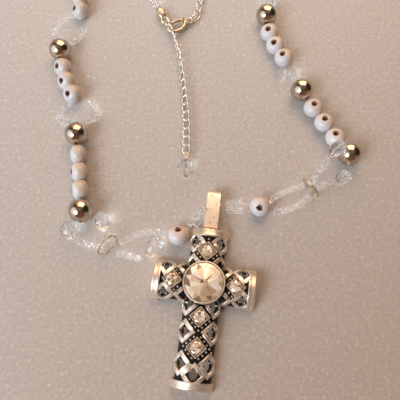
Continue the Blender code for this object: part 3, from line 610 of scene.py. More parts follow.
def steel_ball(body):
    """A ball with a rounded hole through it. Material 1 is the inside of the hole."""
    mouth = math.asin(STEEL_BORE_R / STEEL_R)
    lip = 0.05
    steps = 40
    deep, narrow = STEEL_R * (math.cos(mouth) - lip), STEEL_BORE_R - 0.01 * STEEL_R
    profile = [(-deep, narrow)]
    for k in range(steps + 1):
        turn = mouth + lip + (math.pi - 2 * (mouth + lip)) * k / steps
        profile.append((-STEEL_R * math.cos(turn), STEEL_R * math.sin(turn)))
    profile.append((deep, narrow))
    slots = [0] * (len(profile) - 1) + [1]
    shape = Shape()
    shape.lathe(profile, pivot(body), joint_axis(body), 64, wrap=True, slots=slots)
    piece(f"{body}_ball", shape, body, [STEEL, BORE], [body])


def white_bead(shape, centre, axis):
    """A pressed rondelle whose hole has a worn, ragged mouth. Material 1 is inside the hole."""
    half = WHITE_LENGTH / 2
    mouth = math.asin(WHITE_BORE_R / WHITE_R)
    end = half * math.cos(mouth)
    deep, lip = (end - 0.9, WHITE_BORE_R * 0.8, 0.3), (end - 0.12, WHITE_BORE_R * 0.92, 0.3)
    rows = [(-along, radius, ragged) for along, radius, ragged in (deep, lip)]
    steps = 20
    for k in range(steps + 1):
        turn = mouth + 0.06 + (math.pi - 2 * mouth - 0.12) * k / steps
        near_mouth = max(0.0, 1 - min(k, steps - k) / 2)
        full = power(math.cos(turn), 0.85)
        rows.append((-half * full, WHITE_R * math.sin(turn) ** 0.92, 0.16 * near_mouth))
    rows += [lip, deep]
    side = axis.orthogonal().normalized()
    across = axis.cross(side)
    waves = [(count, chance.uniform(0, 6.28), chance.uniform(0.4, 1.0)) for count in (3, 5, 8)]
    rings = []
    for along, radius, ragged in rows:
        ring = []
        for k, (c, s) in enumerate(around(40)):
            angle = 2 * math.pi * k / 40
            worn = sum(size * math.cos(count * angle + shift) for count, shift, size in waves) / 2
            offset = side * c + across * s
            ring.append(centre + axis * along + offset * radius * (1 + ragged * worn))
        rings.append(ring)
    shape.skin(rings, wrap=True, slots=[1] * 2 + [0] * steps + [1] * 3)


def white_run(name, start, end, bow, beads, tilt, roll):
    """White beads on their cord. Each leans over by about tilt degrees, rolled to the left."""
    path = Path(bowed(start, end, bow))
    places = bead_places(path, beads)

    def spot(distance):
        flat = path.at(distance)
        return Vector((flat.x, flat.y, run_height(places, start, end, path.length, distance)))

    balls = Shape()
    for kind, s in places:
        if kind == "S":
            continue
        along = path.along(s)
        lean = math.radians(tilt + chance.uniform(-8, 8))
        turn = math.radians(roll + chance.uniform(-10, 10))
        tip = UP * math.cos(turn) + UP.cross(along) * math.sin(turn)
        white_bead(balls, spot(s), along * math.cos(lean) + tip * math.sin(lean))
    piece(f"{name}_beads", balls, name, [PEARL, BORE], [name], sharp=70)
    steps = max(int(path.length / 0.8), 4)
    clear_cord(name, name, [spot(path.length * i / steps) for i in range(steps + 1)])


def clear_cord(name, body, points, stands_for=(), wrap=False):
    cord = Shape()
    cord.tube(points, CORD_R, 8, wrap=wrap)
    piece(f"{name}_cord", cord, body, [CORD], stands_for)


def glass_tube(shape, centre, along):
    """A short bugle bead with melted ends, lying a little off its line."""
    nudge = Vector([chance.uniform(-1, 1) for _ in range(3)])
    along = (along + nudge * 0.07).normalized()
    half = TUBE_LENGTH / 2 * chance.uniform(0.94, 1.04)
    edge = 0.14
    melted = edge * 0.35
    far = [(half - edge, TUBE_R), (half - melted, TUBE_R - melted), (half, TUBE_R - edge)]
    far.append((half, TUBE_BORE_R))
    near = [(-reach, radius) for reach, radius in reversed(far)]
    shape.tone_and_facet_light = chance.random()
    shape.lathe(near + far, centre, along, 18, wrap=True)


def tubes_along(shape, path, first, last):
    """Fills a stretch of a path with glass tubes, with the spare length shared at its ends."""
    count = max(int((last - first) / TUBE_PITCH), 1)
    spare = (last - first - count * TUBE_PITCH) / 2
    for i in range(count):
        s = first + spare + TUBE_PITCH * (i + 0.5)
        glass_tube(shape, path.at(s), path.along(s))


def oval_points(start, end, left, right, squareness):
    """A closed outline between two joints, bulging by left and right of the line between them."""
    chord = end - start
    flat = Vector((chord.x, chord.y, 0))
    along = flat.normalized()
    aside = Vector((-along.y, along.x, 0))
    half = flat.length / 2 - END_GAP * 0.4
    middle = (start + end) / 2
    points = []
    for c, s in around(120):
        far = power(c, 2 / squareness)
        wide = power(s, 2 / squareness) * (left if s > 0 else right)
        near_end = start.z if far < 0 else end.z
        height = Z_SEED + (near_end - Z_SEED) * abs(far) ** 3
        spot = middle + along * far * half + aside * wide
        points.append(Vector((spot.x, spot.y, height)))
    return points


def tube_oval(name, start, end, left, right, squareness, bare):
    """Two strands of glass tubes that part and meet again."""
    path = Path(oval_points(start, end, left, right, squareness), closed=True)
    half = path.length / 2
    clear_cord(name, name, path.points[:-1], [name], wrap=True)
    if bare * 2 < half:
        tubes = Shape()
        for first in (0.0, half):
            tubes_along(tubes, path, first + bare * 0.72, first + half - bare * 0.72)
        piece(f"{name}_tubes", tubes, name, [GLASS], [name])


def tube_strand(name, body, corners, breaks, bare, tip=0.0):
    """Glass tubes along an open cord, bare round its breaks and over a length at its tip."""
    path = Path(curved([Vector(corner) for corner in corners]))
    marks = [0.0] + [path.reach[i * CURVE_STEPS] for i in breaks] + [path.length]
    tubes = Shape()
    for first, last in zip(marks, marks[1:]):
        near = first + (bare if first > 0 else 0.1)
        far = last - (bare if last < path.length else 0.1 + tip)
        tubes_along(tubes, path, near, far)
    piece(f"{name}_tubes", tubes, body, [GLASS], [body])
    clear_cord(name, body, path.points)
    return path


def cut_crystal(name, body, axis, radius, length, sides=10, centre=None):
    """A long faceted crystal bead with a hole, in the place of its own node unless told where."""
    half = length / 2
    bore = 0.36
    reaches = (-1.0, -0.62, -0.12, 0.16, 0.66, 1.0)
    widths = (0.34, 0.80, 1.0, 1.0, 0.78, 0.34)
    shifts = (0, 0, 1, 0, 1, 1)
    axis, side, across = square_to(axis)
    stands_for = () if centre else [name]
    centre = centre or box_centre(name)
    shape = Shape()

    def ring(reach, r, shift):
        middle = centre + axis * reach * half
        return [middle + (side * c + across * s) * r for c, s in around(sides, shift / 2)]

    rings = [shape.add(ring(a, r * radius, b)) for a, r, b in zip(reaches, widths, shifts)]
    for i in range(len(rings) - 1):
        zigzag(shape, rings[i], rings[i + 1], shifts[i + 1] - shifts[i])
    holes = [shape.add(ring(reaches[i], bore, shifts[i])) for i in (0, -1)]
    zigzag(shape, holes[0], rings[0], 0)
    zigzag(shape, rings[-1], holes[1], 0)
    zigzag(shape, holes[1], holes[0], shifts[0] - shifts[-1])
    piece(f"{name}_cut", shape, body, [CRYSTAL], stands_for, sharp=0)


def zigzag(shape, near, far, shift):
    """Joins two rings with triangles. shift is how far, in half steps, far is turned from near."""
    count = len(near)
    for k in range(count):
        n, before = (k + 1) % count, (k - 1) % count
        if shift > 0:
            shape.face((near[k], near[n], far[k]))
            shape.face((near[k], far[k], far[before]))
        elif shift < 0:
            shape.face((near[k], near[n], far[n]))
            shape.face((near[k], far[n], far[k]))
        else:
            shape.face((near[k], near[n], far[n], far[k]))


def twisted_ring(name, centre, normal):
    """A ring of two thin wires twisted about each other."""
    normal, side, across = square_to(normal)
    shape = Shape()
    twists = around(BINDER_STEPS)
    for strand in (0, BINDER_STEPS // 2):
        points = []
        for k, (c, s) in enumerate(around(BINDER_TURNS * BINDER_STEPS)):
            lift, rise = twists[(k + strand) % BINDER_STEPS]
            out = side * c + across * s
            offset = out * lift + normal * rise
            points.append(centre + out * BINDER_R + offset * BINDER_WIRE_R * 0.8)
        shape.tube(points, BINDER_WIRE_R, 8, wrap=True)
    piece(f"{name}_wire", shape, name, [CRIMP], [name])


# Beads in each run, the sideways bow of its cord, how far the bead holes lean over, and how far
# they lean to the left
RUNS = {
    "right_spacer": ("W", 0.0, 99, -29),
    "right_run_1": ("SWWWS", 0.3, 80, 3),
    "right_run_2": ("WWWS", 2.6, 85, 20),
    "right_run_3": ("WWWS", -1.2, 95, 20),
    "right_run_4": ("WWW", -1.6, 95, 30),
    "left_spacer": ("W", 0.0, 104, -25),
    "left_run_1": ("SWWWS", 0.0, 96, 72),
    "left_run_2": ("WWWS", 1.8, 105, 35),
    "left_run_3": ("WWWS", -1.2, 100, 50),
    "left_run_4": ("WWW", 3.6, 95, 50),
}
# How far each pair of strands bulges left and right, how square its outline is, and its bare ends
OVALS = {
    "right_oval_1": (3.0, 2.9, 2.6, 2.4),
    "right_oval_2": (3.0, 1.9, 2.2, 9.0),
    "right_oval_3": (2.4, 2.2, 2.6, 2.4),
    "right_oval_4": (1.6, 1.6, 2.2, 2.4),
    "right_oval_5": (1.3, 1.3, 3.0, 2.4),
    "left_oval_2": (6.6, 7.4, 2.0, 2.4),
    "left_oval_3": (6.8, 3.4, 2.2, 3.4),
    "left_oval_4": (3.0, 3.0, 2.4, 2.4),
    "left_oval_5": (1.6, 1.6, 2.4, 2.4),
    "left_oval_6": (1.6, 1.6, 2.6, 2.4),
}
SHARED = (
    "spacer", "oval_1", "branch", "run_1", "oval_2", "run_2", "oval_3", "run_3", "oval_4", "run_4",
    "oval_5",
)
RIGHT = (*SHARED, "cord_end")
LEFT = (*SHARED, "oval_6", "cord_end")


def crystal_pair(name, start, end, left, right, squareness):
    """Two faceted crystals side by side, each on its own cord between two joints."""
    path = Path(oval_points(start, end, left, right, squareness), closed=True)
    for number, part in enumerate((0.25, 0.75), 1):
        middle = path.length * part
        centre = path.at(middle) + Vector((0, 0, 1.0))
        label, along = f"{name}_crystal_{number}", path.along(middle)
        cut_crystal(label, name, along, PAIR_R, PAIR_LENGTH, centre=centre)


def strand_side(side, labels):
    """One side of the necklace: each section runs from its own joint to the next one's."""
    for label, after in zip(labels, labels[1:]):
        name = f"{side}_{label}"
        start, end = pivot(name), pivot(f"{side}_{after}")
        if name in RUNS:
            beads, bow, tilt, roll = RUNS[name]
            white_run(name, start, end, bow, beads, tilt, roll)
        elif name in OVALS:
            tube_oval(name, start, end, *OVALS[name])
        if name == "right_oval_2":
            crystal_pair(name, start, end, *OVALS[name][:3])


def left_first_oval():
    """The first left pair of strands, which sets out on both sides of a faceted crystal."""
    name = "left_oval_1"
    start, end = pivot(name), pivot("left_branch")
    corners = (
        (-22.4, -17.2, 1.3),
        (-24.9, -16.4, Z_SEED),
        (-29.7, -15.0, Z_SEED),
        (end.x + 1.9, end.y - 1.3, 2.1),
        (end.x + 0.45, end.y, end.z),
        (end.x + 2.2, end.y + 0.3, 2.1),
        (-28.2, -10.5, Z_SEED),
        (-23.7, -8.6, Z_SEED),
        (-18.8, -8.0, Z_SEED),
        (-16.4, -8.5, 1.4),
        (start.x - 1.0, start.y + 0.7, start.z),
    )
    tube_strand(name, name, corners, (4,), 2.2)
    cut_crystal("left_oval_1_crystal", name, (0.64, 0.77, 0), CRYSTAL_R, CRYSTAL_LENGTH)


def forks():
    """Beyond each binder ring the two strands part. Faceted crystals end them."""
    start = pivot("right_branch")
    corners = (
        (37.3, 15.3, 6.4),
        (36.6, 14.3, 2.8),
        (35.2, 12.6, Z_SEED),
        (33.4, 9.6, Z_SEED),
        (start.x + 0.3, start.y + 0.5, start.z),
        (35.4, 7.4, Z_SEED),
        (39.4, 9.0, 2.4),
        (46.0, 11.6, 2.5),
    )
    path = tube_strand("right_branch", "right_branch", corners, (4,), 2.4, tip=6.2)
    reach = path.length - 3.3
    tip, along = path.at(reach), path.along(reach)
    cut_crystal("right_branch_tip", "right_branch", along, TIP_R, TIP_LENGTH, centre=tip)
    axis = (0.76, 0.64, 0.2)
    cut_crystal("right_branch_crystal", "right_branch", axis, PAIR_R, CRYSTAL_LENGTH)
    start = pivot("left_branch")
    corners = (
        (-34.0, -8.6, 2.6),
        (-33.9, -10.4, 2.3),
        (start.x - 0.4, start.y, start.z),
        (-36.8, -13.2, 1.6),
        (-40.7, -12.2, Z_SEED),
        (-43.6, -11.3, 2.0),
    )
    tube_strand("left_branch", "left_branch", corners, (2,), 1.2)
    for place, axis in (("outer", (-0.55, 0.83, 0)), ("inner", (-0.35, 0.93, 0))):
        cut_crystal(f"left_branch_{place}_crystal", "left_branch", axis, CRYSTAL_R, CRYSTAL_LENGTH)


def centre_strands():
    """Two strands that pass side by side through the bail."""
    left, right = pivot("left_spacer"), pivot("right_spacer")
    bail = Vector((0, 0, BAIL_HEIGHT / 2))
    for number, offset in enumerate((1.2, -1.2)):
        corners = (
            left + Vector((0.2, 0.2, -0.6)),
            Vector((-6.5 - offset * 0.6, -5.0 + offset * 0.5, Z_SEED + 0.45)),
            Vector((-4.4, -2.4 + offset * 0.8, Z_SEED + 0.35)),
            bail + Vector((-2.5, -0.2 + offset * 0.35, 0)),
            bail + Vector((2.5, offset * 0.35, 0)),
            Vector((4.2, 0.4 + offset, Z_SEED + 0.3)),
            Vector((9.4, 0.4 + offset * 0.95, Z_SEED + 0.2)),
            right + Vector((-0.3, 0, -0.6)),
        )
        path = Path(curved(corners))
        marks = path.reach[::CURVE_STEPS]
        tubes = Shape()
        tubes_along(tubes, path, marks[1] * 0.4, marks[3] - 0.6)
        tubes_along(tubes, path, marks[4] + 0.9, marks[6] + 1.2)
        nodes = ["centre_strand"] if number == 0 else ()
        piece(f"centre_tubes_{number + 1}", tubes, "centre_strand", [GLASS], nodes)
        cord = Shape()
        cord.tube(path.points, CORD_R, 8)
        piece(f"centre_cord_{number + 1}", cord, "centre_strand", [CORD])


def binder_rings():
    """The twisted rings stand on edge round the strands and lean back over them."""
    for side, turn in (("right", 0), ("left", -14)):
        name = f"{side}_binder_ring"
        axis = Matrix.Rotation(math.radians(turn), 3, UP) @ joint_axis(name)
        normal = Matrix.Rotation(BINDER_LEAN, 3, axis) @ UP.cross(axis)
        twisted_ring(name, pivot(name), normal)


# --- Cross pendant ------------------------------------------------------------------------------


def on_cross(u, v, z=0.0):
    return CROSS_CENTRE + Matrix.Rotation(CROSS_TURN, 3, "Z") @ Vector((u, v, z))


class Arm:
    """One arm of the cross. s runs round its half-round surface from the crest, and t outwards."""

    def __init__(self, turn, reach, stones, holes):
        self.turn = math.radians(turn)
        self.inner = reach - CAP_THICK
        self.reach = reach
        self.stones = stones
        self.holes = holes

    def flat(self, across, t, z):
        u = math.cos(self.turn) * across - math.sin(self.turn) * t
        v = math.sin(self.turn) * across + math.cos(self.turn) * t
        return on_cross(u, v, z)

    def across(self, s):
        return HALF_WIDTH * math.sin(s / ARC_R)

    def on(self, s, t, lift=0.0):
        angle = max(-math.pi / 2, min(math.pi / 2, s / ARC_R))
        across = (HALF_WIDTH + lift) * math.sin(angle)
        height = (RISE + lift) * math.cos(angle)
        if math.hypot(across, t) < BEZEL_R + 0.35:
            height = min(height, BEZEL_FLOOR_Z - 0.1)
        return self.flat(across, t, max(height, 0.0))

    def holds(self, s, t):
        """Whether a point of the surface lies on this arm, clear of the next arm and the cap."""
        edge = abs(self.across(s))
        return abs(s) < ARC_R * math.pi / 2 - 0.25 and edge + 0.15 < t < self.inner + 0.3


def arms():
    """The four arms with the places of their stones and openings."""
    side_holes = [(side * LATTICE, SIDE_REACH - CAP_THICK - 1.75) for side in (-1, 1)]
    top_holes = [(side * LATTICE, TOP_REACH - CAP_THICK - 2.2) for side in (-1, 1)]
    low_holes = [(side * LATTICE, t) for side in (-1, 1) for t in (6.6, 14.4, 23.4)] + [(0.0, 26.0)]
    return (
        Arm(0, TOP_REACH, [STONE_STEP], top_holes),
        Arm(90, SIDE_REACH, [STONE_STEP], side_holes),
        Arm(-90, SIDE_REACH, [STONE_STEP], side_holes),
        Arm(180, BOTTOM_REACH, [LOWER_STONE_1, LOWER_STONE_2], low_holes),
    )


def hole_reach(s, t, hole):
    """Distance from an opening's middle, where 1 is its edge."""
    return math.hypot((s - hole[0]) / HOLE_S, (t - hole[1]) / HOLE_T)


def arm_shell(number, arm):
    """The blackened half-round base, hollow behind, with its oval openings."""
    half_arc = ARC_R * math.pi / 2
    columns, rows = 72, int(arm.inner / 0.22)
    shape = Shape()

    def snapped(s, t):
        """A point of the grid, moved onto the edge of an opening that is close to it."""
        for hole in arm.holes:
            reach = hole_reach(s, t, hole)
            if 0.86 < reach < 1.16:
                s = hole[0] + (s - hole[0]) / reach
                t = hole[1] + (t - hole[1]) / reach
        return s, t

    grid = []
    for i in range(columns + 1):
        s = -half_arc + 2 * half_arc * i / columns
        edge = abs(arm.across(s))
        length = arm.inner + 0.4 - edge
        grid.append([snapped(s, edge + length * k / rows) for k in range(rows + 1)])
    marks = [shape.add([arm.on(s, t, -SHELL_DROP) for s, t in line]) for line in grid]
    for i in range(columns):
        for k in range(rows):
            s = (grid[i][k][0] + grid[i + 1][k + 1][0]) / 2
            t = (grid[i][k][1] + grid[i + 1][k + 1][1]) / 2
            in_hole = any(hole_reach(s, t, hole) < 0.99 for hole in arm.holes)
            if in_hole or math.hypot(arm.across(s), t) < 5.0:
                continue
            shape.face((marks[i][k], marks[i + 1][k], marks[i + 1][k + 1], marks[i][k + 1]))
    stands_for = ["cross_casting"] if number == 1 else ()
    name, finishes = f"cross_shell_{number}", [OXIDE, GLOWING_INSIDE]
    made = piece(name, shape, "pendant", finishes, stands_for)
    wall = made.modifiers.new("wall", "SOLIDIFY")
    wall.thickness = SHELL_WALL * MM
    wall.offset = -1.0
    # The faces made by the wall take the second material, the glowing pale inside: painted light seen
    # through the openings.
    wall.material_offset = 1


def bar_on(shape, arm, near, far):
    """A flat strip laid on an arm, raised in its middle and tucked under at its ends."""
    along = (far - near).normalized()
    across = Vector((-along.y, along.x))
    half = BAR_WIDTH / 2
    outline = [(half - 0.12, 0.08), (half, -0.04), (half, -0.65)]
    outline = [(-side, rise) for side, rise in reversed(outline)] + outline
    steps = 12
    sections = []
    for k in range(steps + 1):
        part = k / steps
        run = near.lerp(far, part)
        if not arm.holds(run.x, run.y):
            if sections:
                break
            continue
        lift = 0.12 + 0.36 * math.sin(math.pi * (0.1 + 0.8 * part))
        places = [(run + across * side, rise) for side, rise in outline]
        sections.append([arm.on(place.x, place.y, lift + rise) for place, rise in places])
    if len(sections) < 3:
        return False
    shape.tone_and_facet_light = chance.random()
    shape.skin(sections, capped=True)
    return True


def diagonals():
    """The four diagonal directions, each with the one a quarter turn further."""
    for c, s in around(4, 0.5):
        yield Vector((c, s)), Vector((-s, c))


def weave(number, arm):
    """Strips that frame each opening like a pinwheel, and granules in the dark channels between."""
    bars, granules = Shape(), Shape()
    lines = []
    for hole in lattice_holes(arm):
        for out, along in diagonals():
            middle = Vector(hole) + out * BAR_SIDE
            near, far = middle + along * BAR_START, middle + along * BAR_END
            clear = from_stones(arm, middle + along * 0.5) >= SETTING_HALF + 0.2
            if clear and bar_on(bars, arm, near, far):
                lines.append((near, far))
    for place in granule_places(arm, lines):
        granules.ball(arm.on(place.x, place.y, GRANULE_LIFT), GRANULE_R, 10)
    piece(f"cross_bands_{number}", bars, "pendant", [BAND], sharp=30)
    piece(f"cross_granules_{number}", granules, "pendant", [BAND])


def lattice_holes(arm):
    """Middles of the woven squares beside the stones. Most of them hold an opening."""
    found = []
    steps = (-LATTICE, LATTICE)
    for stone, s, step in ((stone, s, step) for stone in arm.stones for s in steps for step in steps):
        spot = (s, stone + step)
        nearest = min(arm.holes, key=lambda hole: math.dist(hole, spot))
        if math.dist(nearest, spot) < 2.4:
            spot = (s, nearest[1])
        if all(math.dist(spot, other) > 3.0 for other in found):
            found.append(spot)
    if len(arm.stones) > 1:
        found.append((0.0, arm.inner - 2.0))
    return found


def from_stones(arm, place):
    """Distance from the nearest stone's middle, counted along the diagonals of its square."""
    return min(abs(place.x) + abs(place.y - stone) for stone in arm.stones)


def from_line(place, line):
    near, far = line
    chord = far - near
    part = max(0.0, min(1.0, (place - near).dot(chord) / chord.length_squared))
    return (place - near - chord * part).length


def granule_places(arm, lines):
    """Points along the dark lanes round the stones, clear of the strips."""
    found = []
    lane = SETTING_HALF / math.sqrt(2) + 0.56
    for stone in arm.stones:
        for out, along in diagonals():
            for j in range(-3, 4):
                place = Vector((0.0, stone)) + out * lane + along * (j * GRANULE_STEP)
                if free_for_granule(arm, place, lines, found):
                    found.append(place)
    return found


def free_for_granule(arm, place, lines, found):
    if not arm.holds(place.x, place.y) or place.y > arm.inner - 0.4:
        return False
    if math.hypot(arm.across(place.x), place.y) < BEZEL_R + 0.5:
        return False
    if any(from_line(place, line) < BAR_WIDTH / 2 + 0.22 for line in lines):
        return False
    if any(hole_reach(place.x, place.y, hole) < 1.3 for hole in arm.holes):
        return False
    if from_stones(arm, place) < SETTING_HALF + 0.5:
        return False
    return all((place - other).length > 0.8 * GRANULE_STEP for other in found)


def half_ring(arm, half_width, rise, t):
    half = around(72)[:37]
    return [arm.flat(half_width * c, t, max(rise * s, 0.0)) for c, s in half]


def cap(number, arm):
    """A half-round end cap with soft edges and a thin lip towards the weave."""
    shape = Shape()
    inner, outer = arm.inner, arm.reach
    rows = (
        (inner - 0.25, 0.955),
        (inner - 0.25, 0.985),
        (inner + 0.05, 1.0),
        (inner + 0.35, 0.985),
        (inner + 0.5, 0.975),
        (outer - 0.55, 0.985),
        (outer - 0.2, 0.975),
        (outer, 0.93),
        (outer, 0.80),
    )
    rings = [half_ring(arm, CAP_HALF_WIDTH * k, CAP_RISE * k, t) for t, k in rows]
    shape.skin(rings, capped=True)
    piece(f"cross_cap_{number}", shape, "pendant", [CAP], sharp=50)


def diamond(half, corner, z, u, v):
    """A square on its corner, with rounded corners. half is half its diagonal."""
    middle = half - corner * math.sqrt(2)
    ring = []
    for k, (out_u, out_v) in enumerate(around(4, 1)):
        for j in range(5):
            angle = math.pi / 2 * (k + j / 4 + 0.5)
            turned_u = out_u * middle + corner * math.cos(angle)
            turned_v = out_v * middle + corner * math.sin(angle)
            ring.append(on_cross(u + turned_u, v + turned_v, z))
    return ring


STONES = (
    ("top", 0.0, STONE_STEP),
    ("left", -STONE_STEP, 0.0),
    ("right", STONE_STEP, 0.0),
    ("lower_1", 0.0, -LOWER_STONE_1),
    ("lower_2", 0.0, -LOWER_STONE_2),
)


def setting(name, u, v):
    """A square frame with a thin rim, a recess and four corner grains that hold the stone."""
    top = SETTING_TOP_Z
    rows = (
        (SETTING_HALF, 0.25, SETTING_FOOT_Z),
        (SETTING_HALF, 0.25, top - 0.1),
        (SETTING_HALF - 0.12, 0.2, top),
        (SETTING_HALF - 0.42, 0.16, top),
        (SETTING_HALF - 0.5, 0.12, top - 0.5),
        (0.4, 0.1, top - 0.55),
    )
    shape = Shape()
    shape.skin([diamond(*row, u, v) for row in rows], capped=True)
    reach = SETTING_HALF - 0.98
    for c, s in around(4):
        shape.ball(on_cross(u + reach * c, v + reach * s, top - 0.22), 0.3, 10)
    piece(f"setting_{name}", shape, "pendant", [CAP], sharp=35)


def small_stone(name, u, v):
    """A round cut stone with a small table, eight main facets and a ring of edge facets."""
    shape = Shape()
    sides = 8
    turn = chance.uniform(0, 0.7)

    def ring(radius, z, shift):
        steps = around(sides, shift, turn)
        return shape.add([on_cross(u + radius * c, v + radius * s, z) for c, s in steps])

    base = SETTING_TOP_Z
    girdle = ring(SMALL_STONE_R, base - 0.2, 0.5)
    crown = ring(1.45, base + 0.1, 0.0)
    table = ring(0.35, base + 0.22, 0.5)
    foot = ring(0.6, base - 0.45, 0.5)
    # Each facet's value picks how bright the stone material paints it: painted reflections of light
    # in the facets.
    for k in range(sides):
        n, before = (k + 1) % sides, (k - 1) % sides
        shape.face((girdle[before], girdle[k], crown[k]), tone_and_facet_light=chance.uniform(0.1, 0.6))
        shape.face((girdle[k], crown[n], crown[k]), tone_and_facet_light=chance.uniform(0.3, 0.95))
        shape.face((crown[k], crown[n], table[k]), tone_and_facet_light=chance.choice((0.12, 0.5, 0.85, 1.0)))
        shape.face((crown[k], table[k], table[before]), tone_and_facet_light=chance.choice((0.15, 0.6, 0.9, 1.0)))
        shape.face((foot[n], girdle[n], girdle[k], foot[k]))
    shape.face(tuple(table), tone_and_facet_light=0.45)
    shape.face(tuple(reversed(foot)))
    piece(f"stone_{name}_cut", shape, "pendant", [STONE], [f"stone_{name}"], sharp=0)


def bezel():
    """A thin round cup with a rolled rim."""
    shape = Shape()
    inner = BEZEL_R - BEZEL_WALL
    profile = (
        (BEZEL_FLOOR_Z, 2.0),
        (BEZEL_FLOOR_Z, BEZEL_R - 0.15),
        (BEZEL_FLOOR_Z + 0.15, BEZEL_R),
        (BEZEL_RIM_Z - 0.2, BEZEL_R),
        (BEZEL_RIM_Z - 0.05, BEZEL_R - 0.06),
        (BEZEL_RIM_Z, BEZEL_R - 0.2),
        (BEZEL_RIM_Z - 0.05, inner - 0.05),
        (BEZEL_RIM_Z - 0.3, inner - 0.02),
        (BEZEL_FLOOR_Z + 0.6, inner),
        (BEZEL_FLOOR_Z + 0.5, 2.0),
    )
    shape.lathe(profile, on_cross(0, 0), UP, 96, wrap=True)
    piece("bezel_cup_ring", shape, "pendant", [CAP], ["bezel_cup"], sharp=35)


def centre_stone():
    """A pointed round stone: long triangular facets from the edge to a small point off centre."""
    shape = Shape()
    sides = 14
    radius = BEZEL_R - BEZEL_WALL - 0.08
    tip_u, tip_v = 0.15, -0.25

    def ring(r, z, shift, wobble=0.0):
        found = []
        share = 1 - r / radius
        for c, s in around(sides, shift):
            here = r * (1 + chance.uniform(-wobble, wobble))
            found.append(on_cross(tip_u * share + here * c, tip_v * share + here * s, z))
        return shape.add(found)

    foot = ring(2.6, BEZEL_FLOOR_Z + 0.7, 0.5)
    low = ring(radius, BEZEL_RIM_Z - 0.55, 0.5)
    edge = ring(radius, BEZEL_RIM_Z - 0.2, 0.5)
    crown = ring(4.35, BEZEL_RIM_Z + 0.22, 0.0, 0.05)
    inner = ring(1.15, BEZEL_RIM_Z + 0.74, 0.5, 0.25)
    tip = shape.add([on_cross(tip_u, tip_v, BEZEL_RIM_Z + 0.9)])[0]
    # Each facet's value picks how bright the stone material paints it: painted reflections of light
    # in the facets.
    for k in range(sides):
        n, before = (k + 1) % sides, (k - 1) % sides
        shape.face((edge[before], edge[k], crown[k]), tone_and_facet_light=chance.choice((0.15, 0.4, 0.8)))
        shape.face((edge[k], crown[n], crown[k]), tone_and_facet_light=chance.choice((0.1, 0.4, 0.7, 1.0)))
        shape.face((crown[k], crown[n], inner[k]), tone_and_facet_light=chance.choice((0.35, 0.65, 0.9, 1.0)))
        shape.face((crown[k], inner[k], inner[before]), tone_and_facet_light=chance.choice((0.22, 0.45, 0.7, 0.95)))
        shape.face((inner[before], inner[k], tip), tone_and_facet_light=chance.choice((0.05, 0.35, 0.6, 0.8)))
        shape.face((foot[n], low[n], low[k], foot[k]), tone_and_facet_light=0.2)
        shape.face((low[k], low[n], edge[n], edge[k]), tone_and_facet_light=0.3)
    shape.face(tuple(reversed(foot)), tone_and_facet_light=0.1)
    piece("centre_crystal_cut", shape, "pendant", [STONE], ["centre_crystal"], sharp=0)


def bail():
    """A flat strip bent into a long loop, with rounded edges."""
    low = TOP_REACH + 0.15
    high = low + BAIL_LENGTH
    mid = BAIL_HEIGHT / 2
    lane = BAIL_STRIP / 2
    line = [(low + lane + 0.5, lane), (low + lane + 0.1, lane + 0.4)]
    line += [(low + lane + 0.1, BAIL_HEIGHT - lane - 0.4), (low + lane + 0.5, BAIL_HEIGHT - lane)]
    line.append(((low + high) / 2 - 1.5, BAIL_HEIGHT - lane))
    for k in range(15):
        turn = math.pi / 2 - math.pi * k / 14
        reach = mid - lane
        line.append((high - mid + reach * math.cos(turn), mid + reach * math.sin(turn)))
    line.append(((low + high) / 2 - 1.5, lane))
    points = [Vector((0, v, z)) for v, z in line]
    count = len(points)
    half = BAIL_WIDTH / 2
    soft = 0.18
    left = [(-half + soft, -lane), (-half, -lane + soft), (-half, lane - soft), (-half + soft, lane)]
    outline = left + [(-across, rise) for across, rise in reversed(left)]
    rings = []
    for i, point in enumerate(points):
        along = (points[(i + 1) % count] - points[i - 1]).normalized()
        out = Vector((1, 0, 0)).cross(along)
        rounding = 1 - 0.35 * max(0.0, 1 - (high - point.y) / 2.6) ** 2
        ring = []
        for across, rise in outline:
            place = point + out * rise
            ring.append(on_cross(across * rounding, place.y, max(place.z, 0.0)))
        rings.append(ring)
    shape = Shape()
    shape.skin(rings, wrap=True)
    piece("bail_strip", shape, "pendant", [CAP], ["bail"], sharp=35)


def cross():
    for number, arm in enumerate(arms(), 1):
        arm_shell(number, arm)
        weave(number, arm)
        cap(number, arm)
    for name, u, v in STONES:
        setting(name, u, v)
        small_stone(name, u, v)
    bezel()
    centre_stone()
    bail()


# --- Cord ends, clasp and chain -----------------------------------------------------------------

HOOK = 0.46
RUN_LINKS = 4
LINK_HALF_WIDTH = 1.3
LINK_WIRE_R = 0.26
PIN_R = 0.26
PIN_EYE_R = 0.85
CORD_EYE_R = 1.15
CLASP_EYE_R = 1.2
EYE_WIRE_R = 0.36
END_RING_R = 2.1
CLASP_NOSE = Vector((-16.97, 70.18, 1.6))
CLASP_AXIS = Vector((0.93, 0.36, 0.0)).normalized()
CLASP_LEFT = UP.cross(CLASP_AXIS)


def curb_link(shape, start, along, pitch, roll):
    """A link bent so that it hooks through the next while both lie nearly flat."""
    side = Matrix.Rotation(roll, 3, along) @ along.cross(UP).normalized()
    rise = side.cross(along)
    half = pitch / 2 + LINK_WIRE_R * 1.05
    centre = start + along * pitch / 2
    points = []
    for c, s in around(32):
        flat = along * power(c, 0.8) * half + side * s * LINK_HALF_WIDTH
        points.append(centre + flat + rise * (0.84 * s * c))
    shape.tube(points, LINK_WIRE_R, 10, wrap=True)


